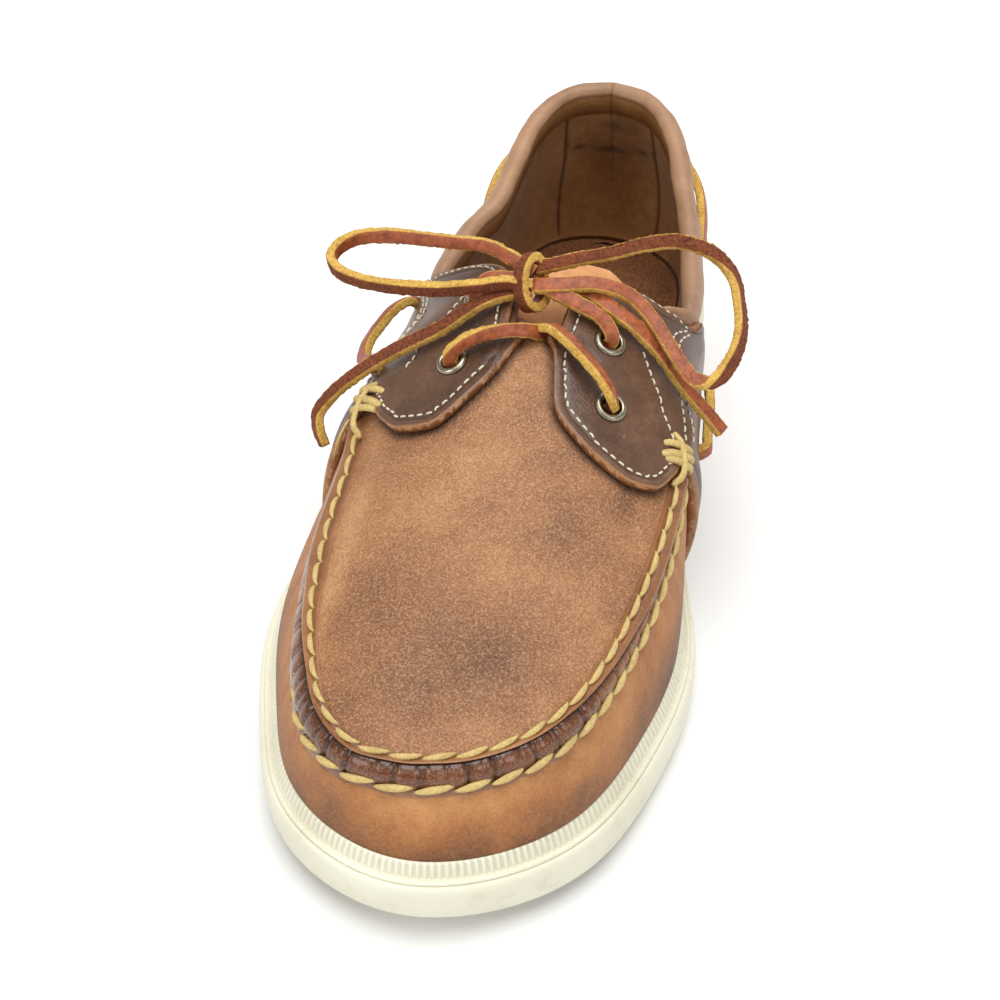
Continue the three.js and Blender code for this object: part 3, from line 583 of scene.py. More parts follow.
def relief(side, at, up):
    """How far the leather stands off the last: folds of the plug, ripples and the turned hem."""
    points = face(side, at, up)
    on_plug = np.clip((up - 0.5) / 0.04, 0, 1) * np.clip((THROAT_AT - at) / 0.2, 0, 1)
    hem = -0.25 * lump(up, 0.97, 0.012) * (at > 5.4)
    return folds(points, PLUG_FOLDS) * on_plug + gather(side, at, up) + hem


def round_grid(read, ups):
    """Grid of a function of side, at and up: once round the shoe for each up."""
    medial = read("medial", *np.broadcast_arrays(STATIONS, ups[:, None]))
    lateral = read("lateral", *np.broadcast_arrays(STATIONS[-2:0:-1], ups[:, None]))
    return np.concatenate([medial, lateral], axis=1)


def eased(line, reach=9):
    """The line with its small corners rounded off, as leather pulled over a last has none."""
    weights = np.hanning(2 * reach + 1)
    ends = np.concatenate([2 * line[:1] - line[reach:0:-1], line, 2 * line[-1:] - line[-2:-reach - 2:-1]])
    return np.stack([np.convolve(ends[:, k], weights / weights.sum(), "valid") for k in range(3)], -1)


def hollow_faces(rows, rim, at):
    """Faces of rings that go up one face of a hollow piece and down the other. The rim follows a
    row and is left out over the plug, and a hem joins the last row to the first."""
    faces = grid_faces(rows, len(at), wrap=True).reshape(rows - 1, len(at), 4)
    over_plug = (at <= THROAT_AT + 1e-6) & (np.roll(at, -1) <= THROAT_AT + 1e-6)
    first = np.arange(len(at))
    last = first + (rows - 1) * len(at)
    hem = np.stack([last, np.roll(last, -1), np.roll(first, -1), first], -1)
    rim_faces = faces[rim][~over_plug]
    return np.concatenate([faces[:rim].reshape(-1, 4), rim_faces, faces[rim + 1:].reshape(-1, 4), hem])


TONE_STRENGTH = 1.45
TONES = [
    # darker (below 0) and lighter (above 0) places of the plug: x y, half length across and along
    (-24, -205, 9, 16, -0.14), (14, -212, 18, 14, -0.27), (-8, -228, 20, 8, -0.10), (24, -168, 8, 18, -0.12),
    (-34, -190, 3.5, 34, 0.22), (-4, -160, 14, 16, 0.14), (30, -195, 8, 14, 0.10), (-14, -145, 12, 8, -0.12),
    (36, -152, 3, 9, -0.30), (8, -192, 10, 10, 0.08), (-33, -218, 4, 8, 0.14), (26, -222, 6, 6, 0.12),
]


def tone(side, at, up):
    """Lighter and darker places of the upper: tone of the plug, and painted light and shade on the vamp wall.
    """
    points = face(side, at, up)
    total = np.zeros(points.shape[:-1])
    for x, y, wide, long, amount in TONES:
        away = ((points[..., 0] - x) / wide) ** 2 + ((points[..., 1] - y) / long) ** 2
        total += TONE_STRENGTH * amount * np.exp(-away)
    on_plug = np.clip((up - 0.5) / 0.02, 0, 1)
    # Vamp wall: painted shade down towards the sole and a painted highlight across the wall's bulge.
    low = 0.1 * lump(up, 0.3, 0.1) - 0.34 * lump(up, 0.02, 0.1) - 0.12 * lump(up, 0.16, 0.07)
    return total * on_plug + low * (1 - on_plug)


def plug_mask(side, at, up):
    return np.clip((up - 0.5) / 0.01, 0, 1) * np.clip((THROAT_AT + 0.2 - at) / 0.05, 0, 1)


def shade(tones, amount):
    """Colour that goes from the dark tone through the middle one to the light one."""
    colour = mix(tones[0], tones[1], (amount * 2.0).held())
    return mix(colour, tones[2], (amount * 2.0 - 1.0).held())


def hide(shades, second=None, patch=26, grain=1150, depth=0.16, rough=(0.5, 0.66), fleck=0.35, scratch=0.25):
    """Drawing of oiled leather: dark, middle and light shades in clouds, pebbled, with fine
    scratches. Where the mesh is painted plug, the second set of shades takes over."""

    def draw(paint):
        clouds = noise(paint, patch, 4, distortion=0.4) * 0.9 + noise(paint, patch * 4.5, 4) * 0.5
        pebble = cells(paint, grain, "SMOOTH_F1")
        lines = noise(paint, grain * 0.8, 3, stretch=(1, 0.6, 1), roughness=0.6)
        mottle = noise(paint, grain * 0.35, 3, roughness=0.7)
        amount = (clouds - 0.2 + mask(paint, "tone") + (mottle - 0.5) * 0.35).held()
        colour = shade(shades, amount)
        if second:
            colour = mix(colour, shade(second, amount), mask(paint, "plug"))
        worms = noise(paint, grain, 2, roughness=0.45, distortion=0.7)
        strength = (mask(paint, "plug") * 0.65 + 0.35) * fleck if second else fleck
        colour = mix(colour, rgb(222, 180, 134), (worms.between(0.46, 0.66) * strength * 0.55).held())
        colour = mix(colour, shades[0], ((1 - worms).between(0.5, 0.7) * strength * 0.45).held())
        marks = noise(paint, 90, 2, stretch=(1, 9, 1)).between(0.75, 0.79) * scratch
        marks = marks + noise(paint, 100, 2, stretch=(8, 1.4, 3)).between(0.74, 0.77) * scratch
        colour = mix(colour, rgb(214, 178, 138), marks.held())
        # The dark mask: painted shade in gaps, creases and under the saddles, and dark seam and crease lines.
        colour = mix(colour, rgb(46, 26, 18), mask(paint, "dark"))
        gloss = (clouds - 0.3).held() * (rough[1] - rough[0]) + rough[0]
        height = pebble * 0.5 + lines * 0.3 + mottle * 0.2 + worms * 0.9
        return colour, gloss, height, depth

    return draw


TAN = [rgb(92, 50, 22), rgb(168, 108, 58), rgb(206, 150, 92)]
PLUG = [rgb(103, 62, 40), rgb(154, 104, 66), rgb(195, 148, 103)]
tan_paint = material("tan_leather", hide(TAN, PLUG, grain=1750, depth=0.3, fleck=0.6),
                     specular_ior_level=0.45)
round_at = np.concatenate([STATIONS, STATIONS[-2:0:-1]])
outer_grid = round_grid(lambda side, at, up: shell(side, at, up, relief(side, at, up)), UPPER_UPS)
toe_share = np.clip(1.5 - round_at / 0.8, 0, 1)[:, None]
half_way = len(round_at) // 2
for row, line in enumerate(outer_grid):
    soft = eased(np.roll(line, half_way, axis=0), 14)
    outer_grid[row] += (np.roll(soft, -half_way, axis=0) - line) * toe_share
inner_grid = round_grid(lambda side, at, up: shell(side, at, up, -LEATHER), UPPER_UPS)[::-1]
upper_masks = {}
for key, read in (("tone", tone), ("plug", plug_mask)):
    painted = round_grid(read, UPPER_UPS)
    upper_masks[key] = np.concatenate([painted, painted[::-1]])
upper = piece("upper_leather", np.concatenate([outer_grid, inner_grid]),
              hollow_faces(2 * len(UPPER_UPS), len(UPPER_UPS) - 1, round_at), tan_paint,
              upper_masks)
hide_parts("upper")

# ---------------------------------------------------------------------------------------------
# Moccasin ridge: the plug's edge laid over the gathered edge of the vamp, hand-sewn through both
# with thick waxed thread. Round the toe the vamp's part is pleated into a dark glossy roll.
# ---------------------------------------------------------------------------------------------
RIDGE_PROFILE = np.array([
    # share of the way from the inner to the outer row, height, roll (vamp part), dark (painted shade in the
    # crevice under the plug's cut edge and at the ridge's foot)
    (-0.14, -0.5, 0, 0), (-0.04, 0.1, 0, 0), (0.04, 0.5, 0, 0.15), (0.12, 1.5, 0, 0), (0.22, 2.5, 0, 0),
    (0.33, 3.1, 0, 0), (0.43, 3.3, 0, 0), (0.50, 3.15, 0, 0.25), (0.535, 2.75, 0, 0.9), (0.53, 2.2, 0, 1),
    (0.50, 1.75, 0.5, 1), (0.54, 1.9, 1, 1), (0.60, 2.35, 1, 0.45), (0.68, 2.6, 1, 0), (0.77, 2.5, 1, 0),
    (0.86, 2.0, 1, 0), (0.94, 1.2, 1, 0.1), (1.0, 0.5, 1, 0.5), (1.05, 0.2, 0.6, 0.15), (1.16, -0.6, 0.2, 0),
])
PLUG_EDGE, PLUG_EDGE_DRAWN_IN = 0.535, 0.38
RIDGE_STEP, RIDGE_LEAST = 0.55, 7.0
RIDGE_TONE, RIDGE_SUNK = -0.05, 0.6


def seam_stops(step):
    """Sides and sections evenly along the seam, from the inner end round the toe to the outer."""
    low = float(seam_length("lateral", SEAM_END["lateral"]))
    high = float(seam_length("medial", SEAM_END["medial"]))
    stops = []
    for run in np.linspace(high, low, round((high - low) / step)):
        side = "medial" if run >= 0 else "lateral"
        stops.append((side, float(np.interp(abs(run), seam_run[side], STATIONS)), float(run)))
    return stops


stops = seam_stops(RIDGE_STEP)
ridge_points, ridge_roll, ridge_shade = [], [], []
pleat_sizes = np.random.default_rng(7).uniform(0.6, 1.25, 200)
inner_line = eased(np.array([shell(side, at, 0.5, 0.0) for side, at, _ in stops]))
outer_line = eased(np.array([shell(side, at, OUTER_ROW[side](at), 0.2) for side, at, _ in stops]))
along = unit(np.gradient(inner_line, axis=0))
for i, (side, at, run) in enumerate(stops):
    slope = outer_line[i] - inner_line[i]
    slope -= along[i] * (slope @ along[i])
    width = max(np.linalg.norm(slope), RIDGE_LEAST)
    slope = unit(slope)
    rise = unit(np.cross(slope, along[i]))
    rise = rise if rise[2] > 0 else -rise
    toe = np.clip((2.6 - at) / 1.2, 0, 1)
    beat = run / SEAM_PITCH + 0.13 * math.sin(run * 0.37) + 0.07 * math.sin(run * 0.83)
    pleat = np.exp(-(((beat % 1) - 0.5) / 0.07) ** 2) * pleat_sizes[int(beat + 90)]
    minor = np.exp(-((((beat * 1.9 + 0.3) % 1) - 0.5) / 0.08) ** 2) * pleat_sizes[int(beat * 1.9 + 60)] * 0.6
    pull = 0.5 + 0.5 * math.cos(2 * math.pi * beat)
    end = np.clip((SEAM_END[side] - at) / 0.05, 0.25, 1)
    edge = PLUG_EDGE - PLUG_EDGE_DRAWN_IN * toe
    ring = []
    for share, high, roll, _ in RIDGE_PROFILE:
        lift = high * (1 - roll * (0.14 + 0.3 * toe) * (pleat + minor)) * (1 - 0.12 * pull * (share < 0.3))
        lift *= (0.82 - 0.32 * roll + (0.62 * roll - 0.08) * toe) * end
        if share < PLUG_EDGE:
            place = share * edge / PLUG_EDGE
        else:
            place = edge + (share - PLUG_EDGE) * (1 - edge) / (1 - PLUG_EDGE)
        bulge = 0.05 * toe * roll * lump(share, 0.8, 0.15) * (1 - pleat)
        ring.append(inner_line[i] + slope * width * (place + bulge) + rise * lift)
    ridge_points.append(ring)
    ridge_roll.append(RIDGE_PROFILE[:, 2] * toe)
    # Painted shade in the creases between the pleats of the roll.
    fold_shade = RIDGE_PROFILE[:, 2] * (0.35 + 0.5 * toe) * (pleat * 0.8 + minor * 0.5)
    ridge_shade.append(np.clip(RIDGE_PROFILE[:, 3] + fold_shade, 0, 1))
ridge_tone = np.full((len(stops), len(RIDGE_PROFILE)), RIDGE_TONE)
under = np.array([[ring[-1] - (0, 0, RIDGE_SUNK), ring[0] - (0, 0, RIDGE_SUNK)] for ring in ridge_points])
ridge_grid = np.concatenate([ridge_points, under], axis=1)
ridge_masks = {"plug": ridge_roll, "dark": ridge_shade, "tone": ridge_tone}
for key, values in ridge_masks.items():
    ridge_masks[key] = np.pad(values, ((0, 0), (0, under.shape[1])))
ROLL = [rgb(58, 28, 17), rgb(104, 59, 36), rgb(158, 100, 64)]
ridge_leather = hide(PLUG, ROLL, grain=1500, depth=0.05, rough=(0.14, 0.27), fleck=0.3, scratch=0.1)
ridge_paint = material("ridge_leather", ridge_leather, specular_ior_level=0.5)
piece("moccasin_ridge", ridge_grid, tube_faces(len(ridge_grid), ridge_grid.shape[1]), ridge_paint,
      ridge_masks)

# ---------------------------------------------------------------------------------------------
# Lining: tan suede glued inside the upper and turned in under the foot bed, with a strip over
# the heel seam that has a stitched edge on each side and a pocket line across it.
# ---------------------------------------------------------------------------------------------
LINING_OFF, LINING_THICK = -1.4, 0.9
STRIP_AT, STRIP_THICK = 8.22, 0.5
POCKET_Z, STAIN = 52.0, (1.5, 63.0)
LINING_UPS = np.concatenate([WALL_UPS[::2], TOP_UPS[2::3]])
LINING_FOOT = [(9.6, 16.0), (8.9, 16.6), (8.2, 17.7)]


def lining_inside(side, at, up):
    strip = np.clip((at - STRIP_AT) / 0.02, 0, 1)
    return shell(side, at, up, LINING_OFF - LINING_THICK - STRIP_THICK * strip)


def lining_dark(side, at, up):
    """Dark lines and the stain inside the heel."""
    points = face(side, at, up)
    seam = lump(at, STRIP_AT, 0.022) * 0.8
    pocket = lump(points[..., 2] - 0.012 * points[..., 0] ** 2, POCKET_Z, 0.9) * (at > STRIP_AT) * 0.7
    stain = lump(points[..., 0], STAIN[0], 5.0) * lump(points[..., 2], STAIN[1], 2.6) * (at > 8) * 0.6
    return np.clip(seam + pocket + stain, 0, 1)


def suede(shades, scale=1500, depth=0.14):
    """Drawing of suede or a split leather face: soft clouds and a short nap, with no gloss."""

    def draw(paint):
        clouds = noise(paint, 45, 4) * 0.8 + noise(paint, 300, 4, roughness=0.65) * 0.6
        nap = noise(paint, scale, 4, roughness=0.7)
        amount = (clouds - 0.2 + mask(paint, "tone") + (nap - 0.5) * 0.5).held()
        colour = mix(shade(shades, amount), rgb(44, 24, 12), mask(paint, "dark"))
        return colour, clouds * 0.1 + 0.84, nap, depth

    return draw


SUEDE = [rgb(88, 54, 24), rgb(150, 104, 58), rgb(188, 140, 86)]
lining_paint = material("tan_suede", suede(SUEDE), specular_ior_level=0.2, sheen_weight=0.15)
lining_turns = TOE_ROW - np.concatenate([STATIONS, -STATIONS[-2:0:-1]])
lining_rows = []
for inset, base in LINING_FOOT:
    edge = inset_outline(lining_turns, inset)
    lining_rows.append(np.column_stack([edge, base + FOOT_SPRING * spring(edge[:, 1])]))
inside = round_grid(lining_inside, LINING_UPS)
outside = round_grid(lambda side, at, up: shell(side, at, up, LINING_OFF), LINING_UPS)
lining_grid = np.concatenate([lining_rows, inside, outside[::-1]])
lining_shades = np.pad(round_grid(lining_dark, LINING_UPS), ((len(lining_rows), len(outside)), (0, 0)))
lining_rim = len(lining_rows) + len(LINING_UPS) - 1
lining = piece("lining", lining_grid, hollow_faces(len(lining_grid), lining_rim, round_at), lining_paint,
               {"dark": lining_shades})

# ---------------------------------------------------------------------------------------------
# Insole: a brown leather sock glued on the foot bed, with a faintly pressed rim.
# ---------------------------------------------------------------------------------------------
INSOLE_PROFILE = [
    # inset and base: under side, edge, and the pressed line round the top
    (8.6, 12.8), (8.25, 13.4), (8.25, 15.6), (8.5, 16.1), (9.0, 16.35), (10.2, 16.3), (11.0, 16.1),
    (12.0, 16.3),
]
SOCK_STEPS, SOCK_INSET, SOCK_BASE = 360, 12.0, 16.25
SOCK_SHARES = (0.85, 0.6, 0.3, 0.0)
insole_turns, _ = even_turns(SOCK_STEPS)
insole_rings = [to_middle(insole_turns, *INSOLE_PROFILE[0], 0.0)]
insole_rings += [on_layer(inset_outline(insole_turns, inset), base) for inset, base in INSOLE_PROFILE]
insole_rings += [to_middle(insole_turns, SOCK_INSET, SOCK_BASE, share) for share in SOCK_SHARES]
sock_paint = material("sock_leather", hide([rgb(70, 38, 20), rgb(122, 72, 40), rgb(150, 96, 58)], grain=1300,
                                           depth=0.08, rough=(0.55, 0.7)), specular_ior_level=0.35)
insole = piece("sock", insole_rings, grid_faces(len(insole_rings), len(insole_turns), wrap=True),
               sock_paint)
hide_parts("insole")

# ---------------------------------------------------------------------------------------------
# Collar: soft greyish tan leather wrapped round a foam roll, turned over the top edge from one
# saddle round the heel to the other and stitched down outside. A seam joins its ends at the back.
# ---------------------------------------------------------------------------------------------
COLLAR_STATIONS = np.concatenate([np.linspace(5.1, 5.9, 20), np.linspace(5.93, 9, 104)])
COLLAR_TAPER = column([5.1, 5.3, 5.6, 5.9, 9], [0.3, 0.55, 0.9, 1, 1])
COLLAR_SKIRT = [(0.68, 0.45), (0.69, 0.75), (0.74, 0.85), (0.8, 1.05), (0.87, 1.5), (0.94, 2.2)]
COLLAR_ROLL = [
    # across the top edge (outwards is more than 0) and height over it
    (3.9, -0.6), (4.3, 1.0), (4.2, 2.8), (3.5, 4.7), (2.2, 6.2), (0.7, 6.9), (-0.7, 6.8), (-1.9, 6.1),
    (-2.6, 5.0), (-2.8, 4.1), (-2.4, 3.7), (-2.6, 3.2), (-2.2, 1.2), (-1.5, -3.2), (-0.6, -3.4), (0.2, -1.0),
]
COLLAR_SEAM_ROW, COLLAR_SEAM_DARK = len(COLLAR_SKIRT) + 10, 0.15
NOTCH_DEEP, NOTCH_DARK = 0.09, 0.35


def collar_ring(side, at):
    size = float(COLLAR_TAPER(at))
    ring = [shell(side, at, up, 0.25 + (off - 0.25) * size) for up, off in COLLAR_SKIRT]
    centre = shell(side, at, 1.0, -WALL / 2)
    out = np.append(outward(turn_of(side, at)), 0.0)
    puff = 1 + 0.035 * math.sin(at * 9.0) + 0.02 * math.sin(at * 23.0 + (side == "medial"))
    for across, high in COLLAR_ROLL:
        ring.append(centre + out * across * size * puff + np.array([0, 0, high * size]))
    ring.append(shell(side, at, 0.8, 0.1))
    return ring


collar_stops = [("medial", at) for at in COLLAR_STATIONS]
collar_stops += [("lateral", at) for at in COLLAR_STATIONS[-2::-1]]
collar_grid = np.array([collar_ring(side, at) for side, at in collar_stops])
notch = np.array([lump(at, HEEL_AT, 0.02) for _, at in collar_stops])
roll_rows = slice(len(COLLAR_SKIRT), len(COLLAR_SKIRT) + len(COLLAR_ROLL) - 3)
collar_middle = collar_grid[:, roll_rows].mean(1, keepdims=True)
collar_grid[:, roll_rows] += (collar_middle - collar_grid[:, roll_rows]) * (NOTCH_DEEP * notch)[:, None, None]
collar_dark = np.zeros(collar_grid.shape[:2])
collar_dark[:, COLLAR_SEAM_ROW] = COLLAR_SEAM_DARK
collar_dark[:, roll_rows] = np.maximum(collar_dark[:, roll_rows], NOTCH_DARK * notch[:, None])
collar_suede = np.zeros_like(collar_dark)
collar_suede[:, COLLAR_SEAM_ROW + 1:] = 1
COLLAR_SHADES = [rgb(116, 82, 56), rgb(162, 122, 90), rgb(192, 152, 118)]
collar_leather = hide(COLLAR_SHADES, SUEDE, grain=1700, depth=0.07, rough=(0.42, 0.55), fleck=0.15,
                      scratch=0.1)
collar_paint = material("collar_leather", collar_leather, specular_ior_level=0.45)
collar = piece("collar_roll", collar_grid, tube_faces(*collar_grid.shape[:2]), collar_paint,
               {"dark": collar_dark, "plug": collar_suede})
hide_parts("collar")

# ---------------------------------------------------------------------------------------------
# Backstay: a narrow strap of the same leather sewn up the middle of the heel.
# ---------------------------------------------------------------------------------------------
BACKSTAY_HALF, BACKSTAY_OFF, BACKSTAY_THICK = 0.3, 0.1, 1.3
BACKSTAY_TOP, BACKSTAY_TOP_SHARE, BACKSTAY_SPREAD, BACKSTAY_SUNK = 0.72, 0.8, 0.35, 0.2
STRAP_EDGE = [(1, 0), (1, 0.5), (0.98, 0.85), (0.93, 1)]


def plate_faces(rows, cols):
    """Faces of a plate whose upper and lower grids have the same outline."""
    top = grid_faces(rows, cols)
    corners = np.arange(rows * cols).reshape(rows, cols)
    ring = np.concatenate([corners[0], corners[1:, -1], corners[-1, -2::-1], corners[-2:0:-1, 0]])
    after = np.roll(ring, -1)
    side = np.stack([ring, after, after + rows * cols, ring + rows * cols], -1)
    return np.concatenate([top, top + rows * cols, side])


strap_spread = [(-across, thick) for across, thick in STRAP_EDGE]
strap_spread += [(across, 1) for across in np.linspace(-0.85, 0.85, 17)] + STRAP_EDGE[::-1]
strap_ups = np.concatenate([[0.0, 0.03], np.linspace(0.06, BACKSTAY_TOP - 0.02, 24), [BACKSTAY_TOP]])
strap_top, strap_low = [], []
for up in strap_ups:
    wide = BACKSTAY_HALF * (1 + BACKSTAY_SPREAD * (1 - up / BACKSTAY_TOP) ** 2)
    for across, thick in strap_spread:
        side, at = "lateral" if across < 0 else "medial", HEEL_AT - abs(across) * wide
        high = BACKSTAY_THICK * min(thick, BACKSTAY_TOP_SHARE if up == BACKSTAY_TOP else 1)
        strap_top.append(shell(side, at, up, BACKSTAY_OFF + high))
        strap_low.append(shell(side, at, up, BACKSTAY_OFF - BACKSTAY_SUNK))
backstay = piece("heel_strap", strap_top + strap_low, plate_faces(len(strap_ups), len(strap_spread)),
                 tan_paint)
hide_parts("backstay")

# ---------------------------------------------------------------------------------------------
# Tongue: a soft tan split leather, rough side up, with a rounded end behind the knot.
# ---------------------------------------------------------------------------------------------
TONGUE = np.array([
    # y, x, z of its middle, half width and drop of its edges
    (-131, 2.8, 71.6, 17, 4.5), (-124, 2.9, 72.4, 18, 4.8), (-117, 3.2, 73.8, 18, 5),
    (-110, 4.2, 75.6, 18, 5), (-103, 5.4, 77.4, 18, 5), (-96, 6.8, 79.4, 18, 4.6),
    (-90, 8, 81.2, 17, 4), (-85.5, 8.7, 82.6, 13.5, 2.6), (-83, 9.1, 83.4, 8.5, 1),
], float)
TONGUE_THICK = 2.4
tongue_read = [column(TONGUE[:, 0], TONGUE[:, k]) for k in range(1, 5)]
tongue_y = np.concatenate([np.linspace(-131, -90, 30), np.linspace(-89, -83.2, 14), [-83.0]])
tongue_across = np.concatenate([[-1, -1, -0.985], np.linspace(-0.94, 0.94, 33), [0.985, 1, 1]])
tongue_edge = np.concatenate([[0, 0.5, 0.88], np.ones(33), [0.88, 0.5, 0]])
tongue_end = np.ones(len(tongue_y))
tongue_end[-2:] = 0.8, 0.35
tongue_top, tongue_low = [], []
for y, end in zip(tongue_y, tongue_end):
    x, z, half, drop = (float(read(y)) for read in tongue_read)
    for across, edge in zip(tongue_across, tongue_edge):
        curl = z - drop * across ** 2
        tongue_top.append((x + across * half, y, curl - TONGUE_THICK * (1 - min(edge, end))))
        tongue_low.append((x + across * half, y, curl - TONGUE_THICK))
tongue_paint = material("tongue_split", suede([rgb(172, 114, 72), rgb(222, 162, 112), rgb(238, 190, 146)]),
                        specular_ior_level=0.2, sheen_weight=0.1)
tongue = piece("tongue_flap", tongue_top + tongue_low,
               plate_faces(len(tongue_y), len(tongue_across)), tongue_paint)
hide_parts("tongue")

# ---------------------------------------------------------------------------------------------
# Saddles: two eyelet facings of thick dark brown oiled leather, one each side of the throat. They
# run down to the sole, are sewn on with two rows of machine stitches and have a raw front edge.
# ---------------------------------------------------------------------------------------------
SADDLE_GAP, SADDLE_THICK = 0.45, 2.5
SADDLE_TOP = 0.985
FLAP_FRONT = {
    # up and section of the raw front edge
    "medial": column(*np.transpose([
        (0, 3.82), (0.3, 3.84), (0.47, 3.87), (0.505, 3.84), (0.52, 3.65), (0.556, 3.44), (0.644, 3.35),
        (0.742, 3.39), (0.819, 3.47), (0.876, 3.57), (0.925, 3.9), (0.96, 4.03), (1, 4.14)])),
    "lateral": column(*np.transpose([
        (0, 3.86), (0.3, 3.88), (0.49, 3.92), (0.53, 3.88), (0.586, 3.66), (0.656, 3.5), (0.758, 3.44),
        (0.862, 3.6), (0.922, 3.72), (0.955, 3.85), (0.98, 4), (1, 4.14)])),
}
FLAP_BACK = column([0, 0.5, 0.8, 1], [5.2, 5.32, 5.4, 5.4])
FLAP_STEP = 0.9
EDGE_ROUNDING = column([0, 0.15, 0.45, 0.9, 1.9, 2.5, 3.3, 4.2],
                       [0.7, 0.86, 0.97, 1.0, 0.97, 0.88, 0.97, 1.0])
EDGE_DEPTHS = np.array([0, 0.02, 0.12, 0.3, 0.6, 0.95, 1.4, 1.9, 2.4, 2.9, 3.6])
EYELETS = [
    # side, section and up
    ("medial", 3.74, 0.729), ("medial", 4.27, 0.819), ("lateral", 3.82, 0.788), ("lateral", 4.43, 0.868),
]
HOLE_RADIUS, HOLE_SIDES, PUNCH_REACH = 3.1, 40, (-8, 7)


def flap_edge(side, count=400):
    """Points of a saddle's free edge: up its front from the sole, then back along the throat."""
    ups = np.linspace(0.03, SADDLE_TOP, count)
    front = face(side, FLAP_FRONT[side](ups), ups)
    ats = np.linspace(float(FLAP_FRONT[side](SADDLE_TOP)), float(FLAP_BACK(SADDLE_TOP)), 120)
    return np.concatenate([front, face(side, ats[1:], SADDLE_TOP)]), ups


def away_from(points, line):
    """Distance of each point from a line of close points."""
    gap = np.full(points.shape[:-1], np.inf)
    for spot in line:
        gap = np.minimum(gap, np.linalg.norm(points - spot, axis=-1))
    return gap


def saddle_grid(side):
    """Upper and lower points of a saddle, close together along its free edge, and its masks."""
    edge, ups = flap_edge(side)
    run = run_length(edge[:len(ups)])
    rows = np.interp(np.arange(0, run[-1], FLAP_STEP), run, ups)
    rows = np.append(rows, SADDLE_TOP)
    ats = []
    for up in rows:
        fine = np.linspace(float(FLAP_FRONT[side](up)), float(FLAP_BACK(up)), 90)
        length = run_length(face(side, fine, up))
        depths = np.concatenate([EDGE_DEPTHS, np.linspace(4.4, max(length[-1], 8), 46)])
        ats.append(np.interp(np.minimum(depths, length[-1]), length, fine))
    ats = np.array(ats)
    ups_grid = np.broadcast_to(rows[:, None], ats.shape)
    base = face(side, ats, ups_grid)
    depth = away_from(base, edge)
    round_off = EDGE_ROUNDING(depth)
    lift = 0.7 * lump(depth, 0, 5.0) * ((ups_grid > 0.5) & (ups_grid < 0.92))
    tail = 1.3 * lump(ups_grid, 0.36, 0.13) * lump(depth, 5.0, 4.0)
    streak = 0.1 * np.sin(base[..., 0] * 0.55 + base[..., 1] * 0.35) * np.clip(depth / 10, 0, 1)
    fuzz = np.random.default_rng(5).normal(0, 0.06, depth.shape) * np.clip(1 - depth / 0.7, 0, 1)
    high = SADDLE_GAP + SADDLE_THICK * round_off + lift * 0.6 + tail * 0.6 + streak + fuzz
    top = shell(side, ats, ups_grid, high)
    low = shell(side, ats, ups_grid, SADDLE_GAP - 0.3 + lift)
    raw = np.clip((0.75 - depth) / 0.35, 0, 1)
    crease = lump(depth, 2.55, 0.4) * 0.55
    tint = -0.18 * lump(depth, 6, 6) + 0.12 * lump(depth, 1.9, 0.7)
    raw_under = np.maximum(raw, np.clip(1.5 - depth, 0, 1))
    # dark: the pressed crease line on the upper face, and painted shade over all of the lower face under the
    # saddle.
    masks = {"plug": [raw, raw_under], "dark": [crease, np.full_like(raw, 0.2)],
             "tone": [tint, np.zeros_like(raw)]}
    return top, low, masks


def square_axes(side, at, up):
    """A place on the upper, the way out of it there and two ways across it."""
    middle, way = face(side, at, up), normal(side, at, up)
    across = unit(np.cross(way, (0, 1, 0.3)))
    return middle, way, across, np.cross(way, across)


def cut_holes(made, spots):
    """Round holes through a piece of leather, each square to the saddle's face."""
    sticks, faces = [], []
    turns = np.linspace(0, 2 * math.pi, HOLE_SIDES, endpoint=False)[:, None]
    for i, spot in enumerate(spots):
        middle, way, across, other = square_axes(*spot)
        ring = (np.cos(turns) * across + np.sin(turns) * other) * HOLE_RADIUS
        sticks += [middle + ring + way * reach for reach in PUNCH_REACH]
        faces += tube_faces(2, HOLE_SIDES, start=i * 2 * HOLE_SIDES)
    punch = bpy.data.objects.new("punch", new_mesh("punch", sticks, faces))
    bpy.context.scene.collection.objects.link(punch)
    cut = made.modifiers.new("holes", "BOOLEAN")
    cut.operation, cut.solver, cut.object = "DIFFERENCE", "EXACT", punch
    shaped = bpy.data.meshes.new_from_object(made.evaluated_get(bpy.context.evaluated_depsgraph_get()))
    made.modifiers.clear()
    made.data = shaped
    bpy.data.objects.remove(punch)


SADDLE_SHADES = [rgb(54, 34, 25), rgb(102, 72, 54), rgb(152, 116, 90)]
RAW_EDGE = [rgb(96, 56, 32), rgb(162, 110, 68), rgb(204, 156, 108)]
saddle_leather = hide(SADDLE_SHADES, RAW_EDGE, patch=34, grain=1500, depth=0.09, rough=(0.28, 0.46),
                      fleck=0.22, scratch=0.18)
saddle_paint = material("saddle_leather", saddle_leather, specular_ior_level=0.5)
for side in SECTIONS:
    top, low, masks = saddle_grid(side)
    saddle = piece("saddle_" + side + "_leather", np.concatenate([top, low]), plate_faces(*top.shape[:2]),
                   saddle_paint, masks)
    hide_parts("saddle_" + side)
    cut_holes(saddle, [spot for spot in EYELETS if spot[0] == side])
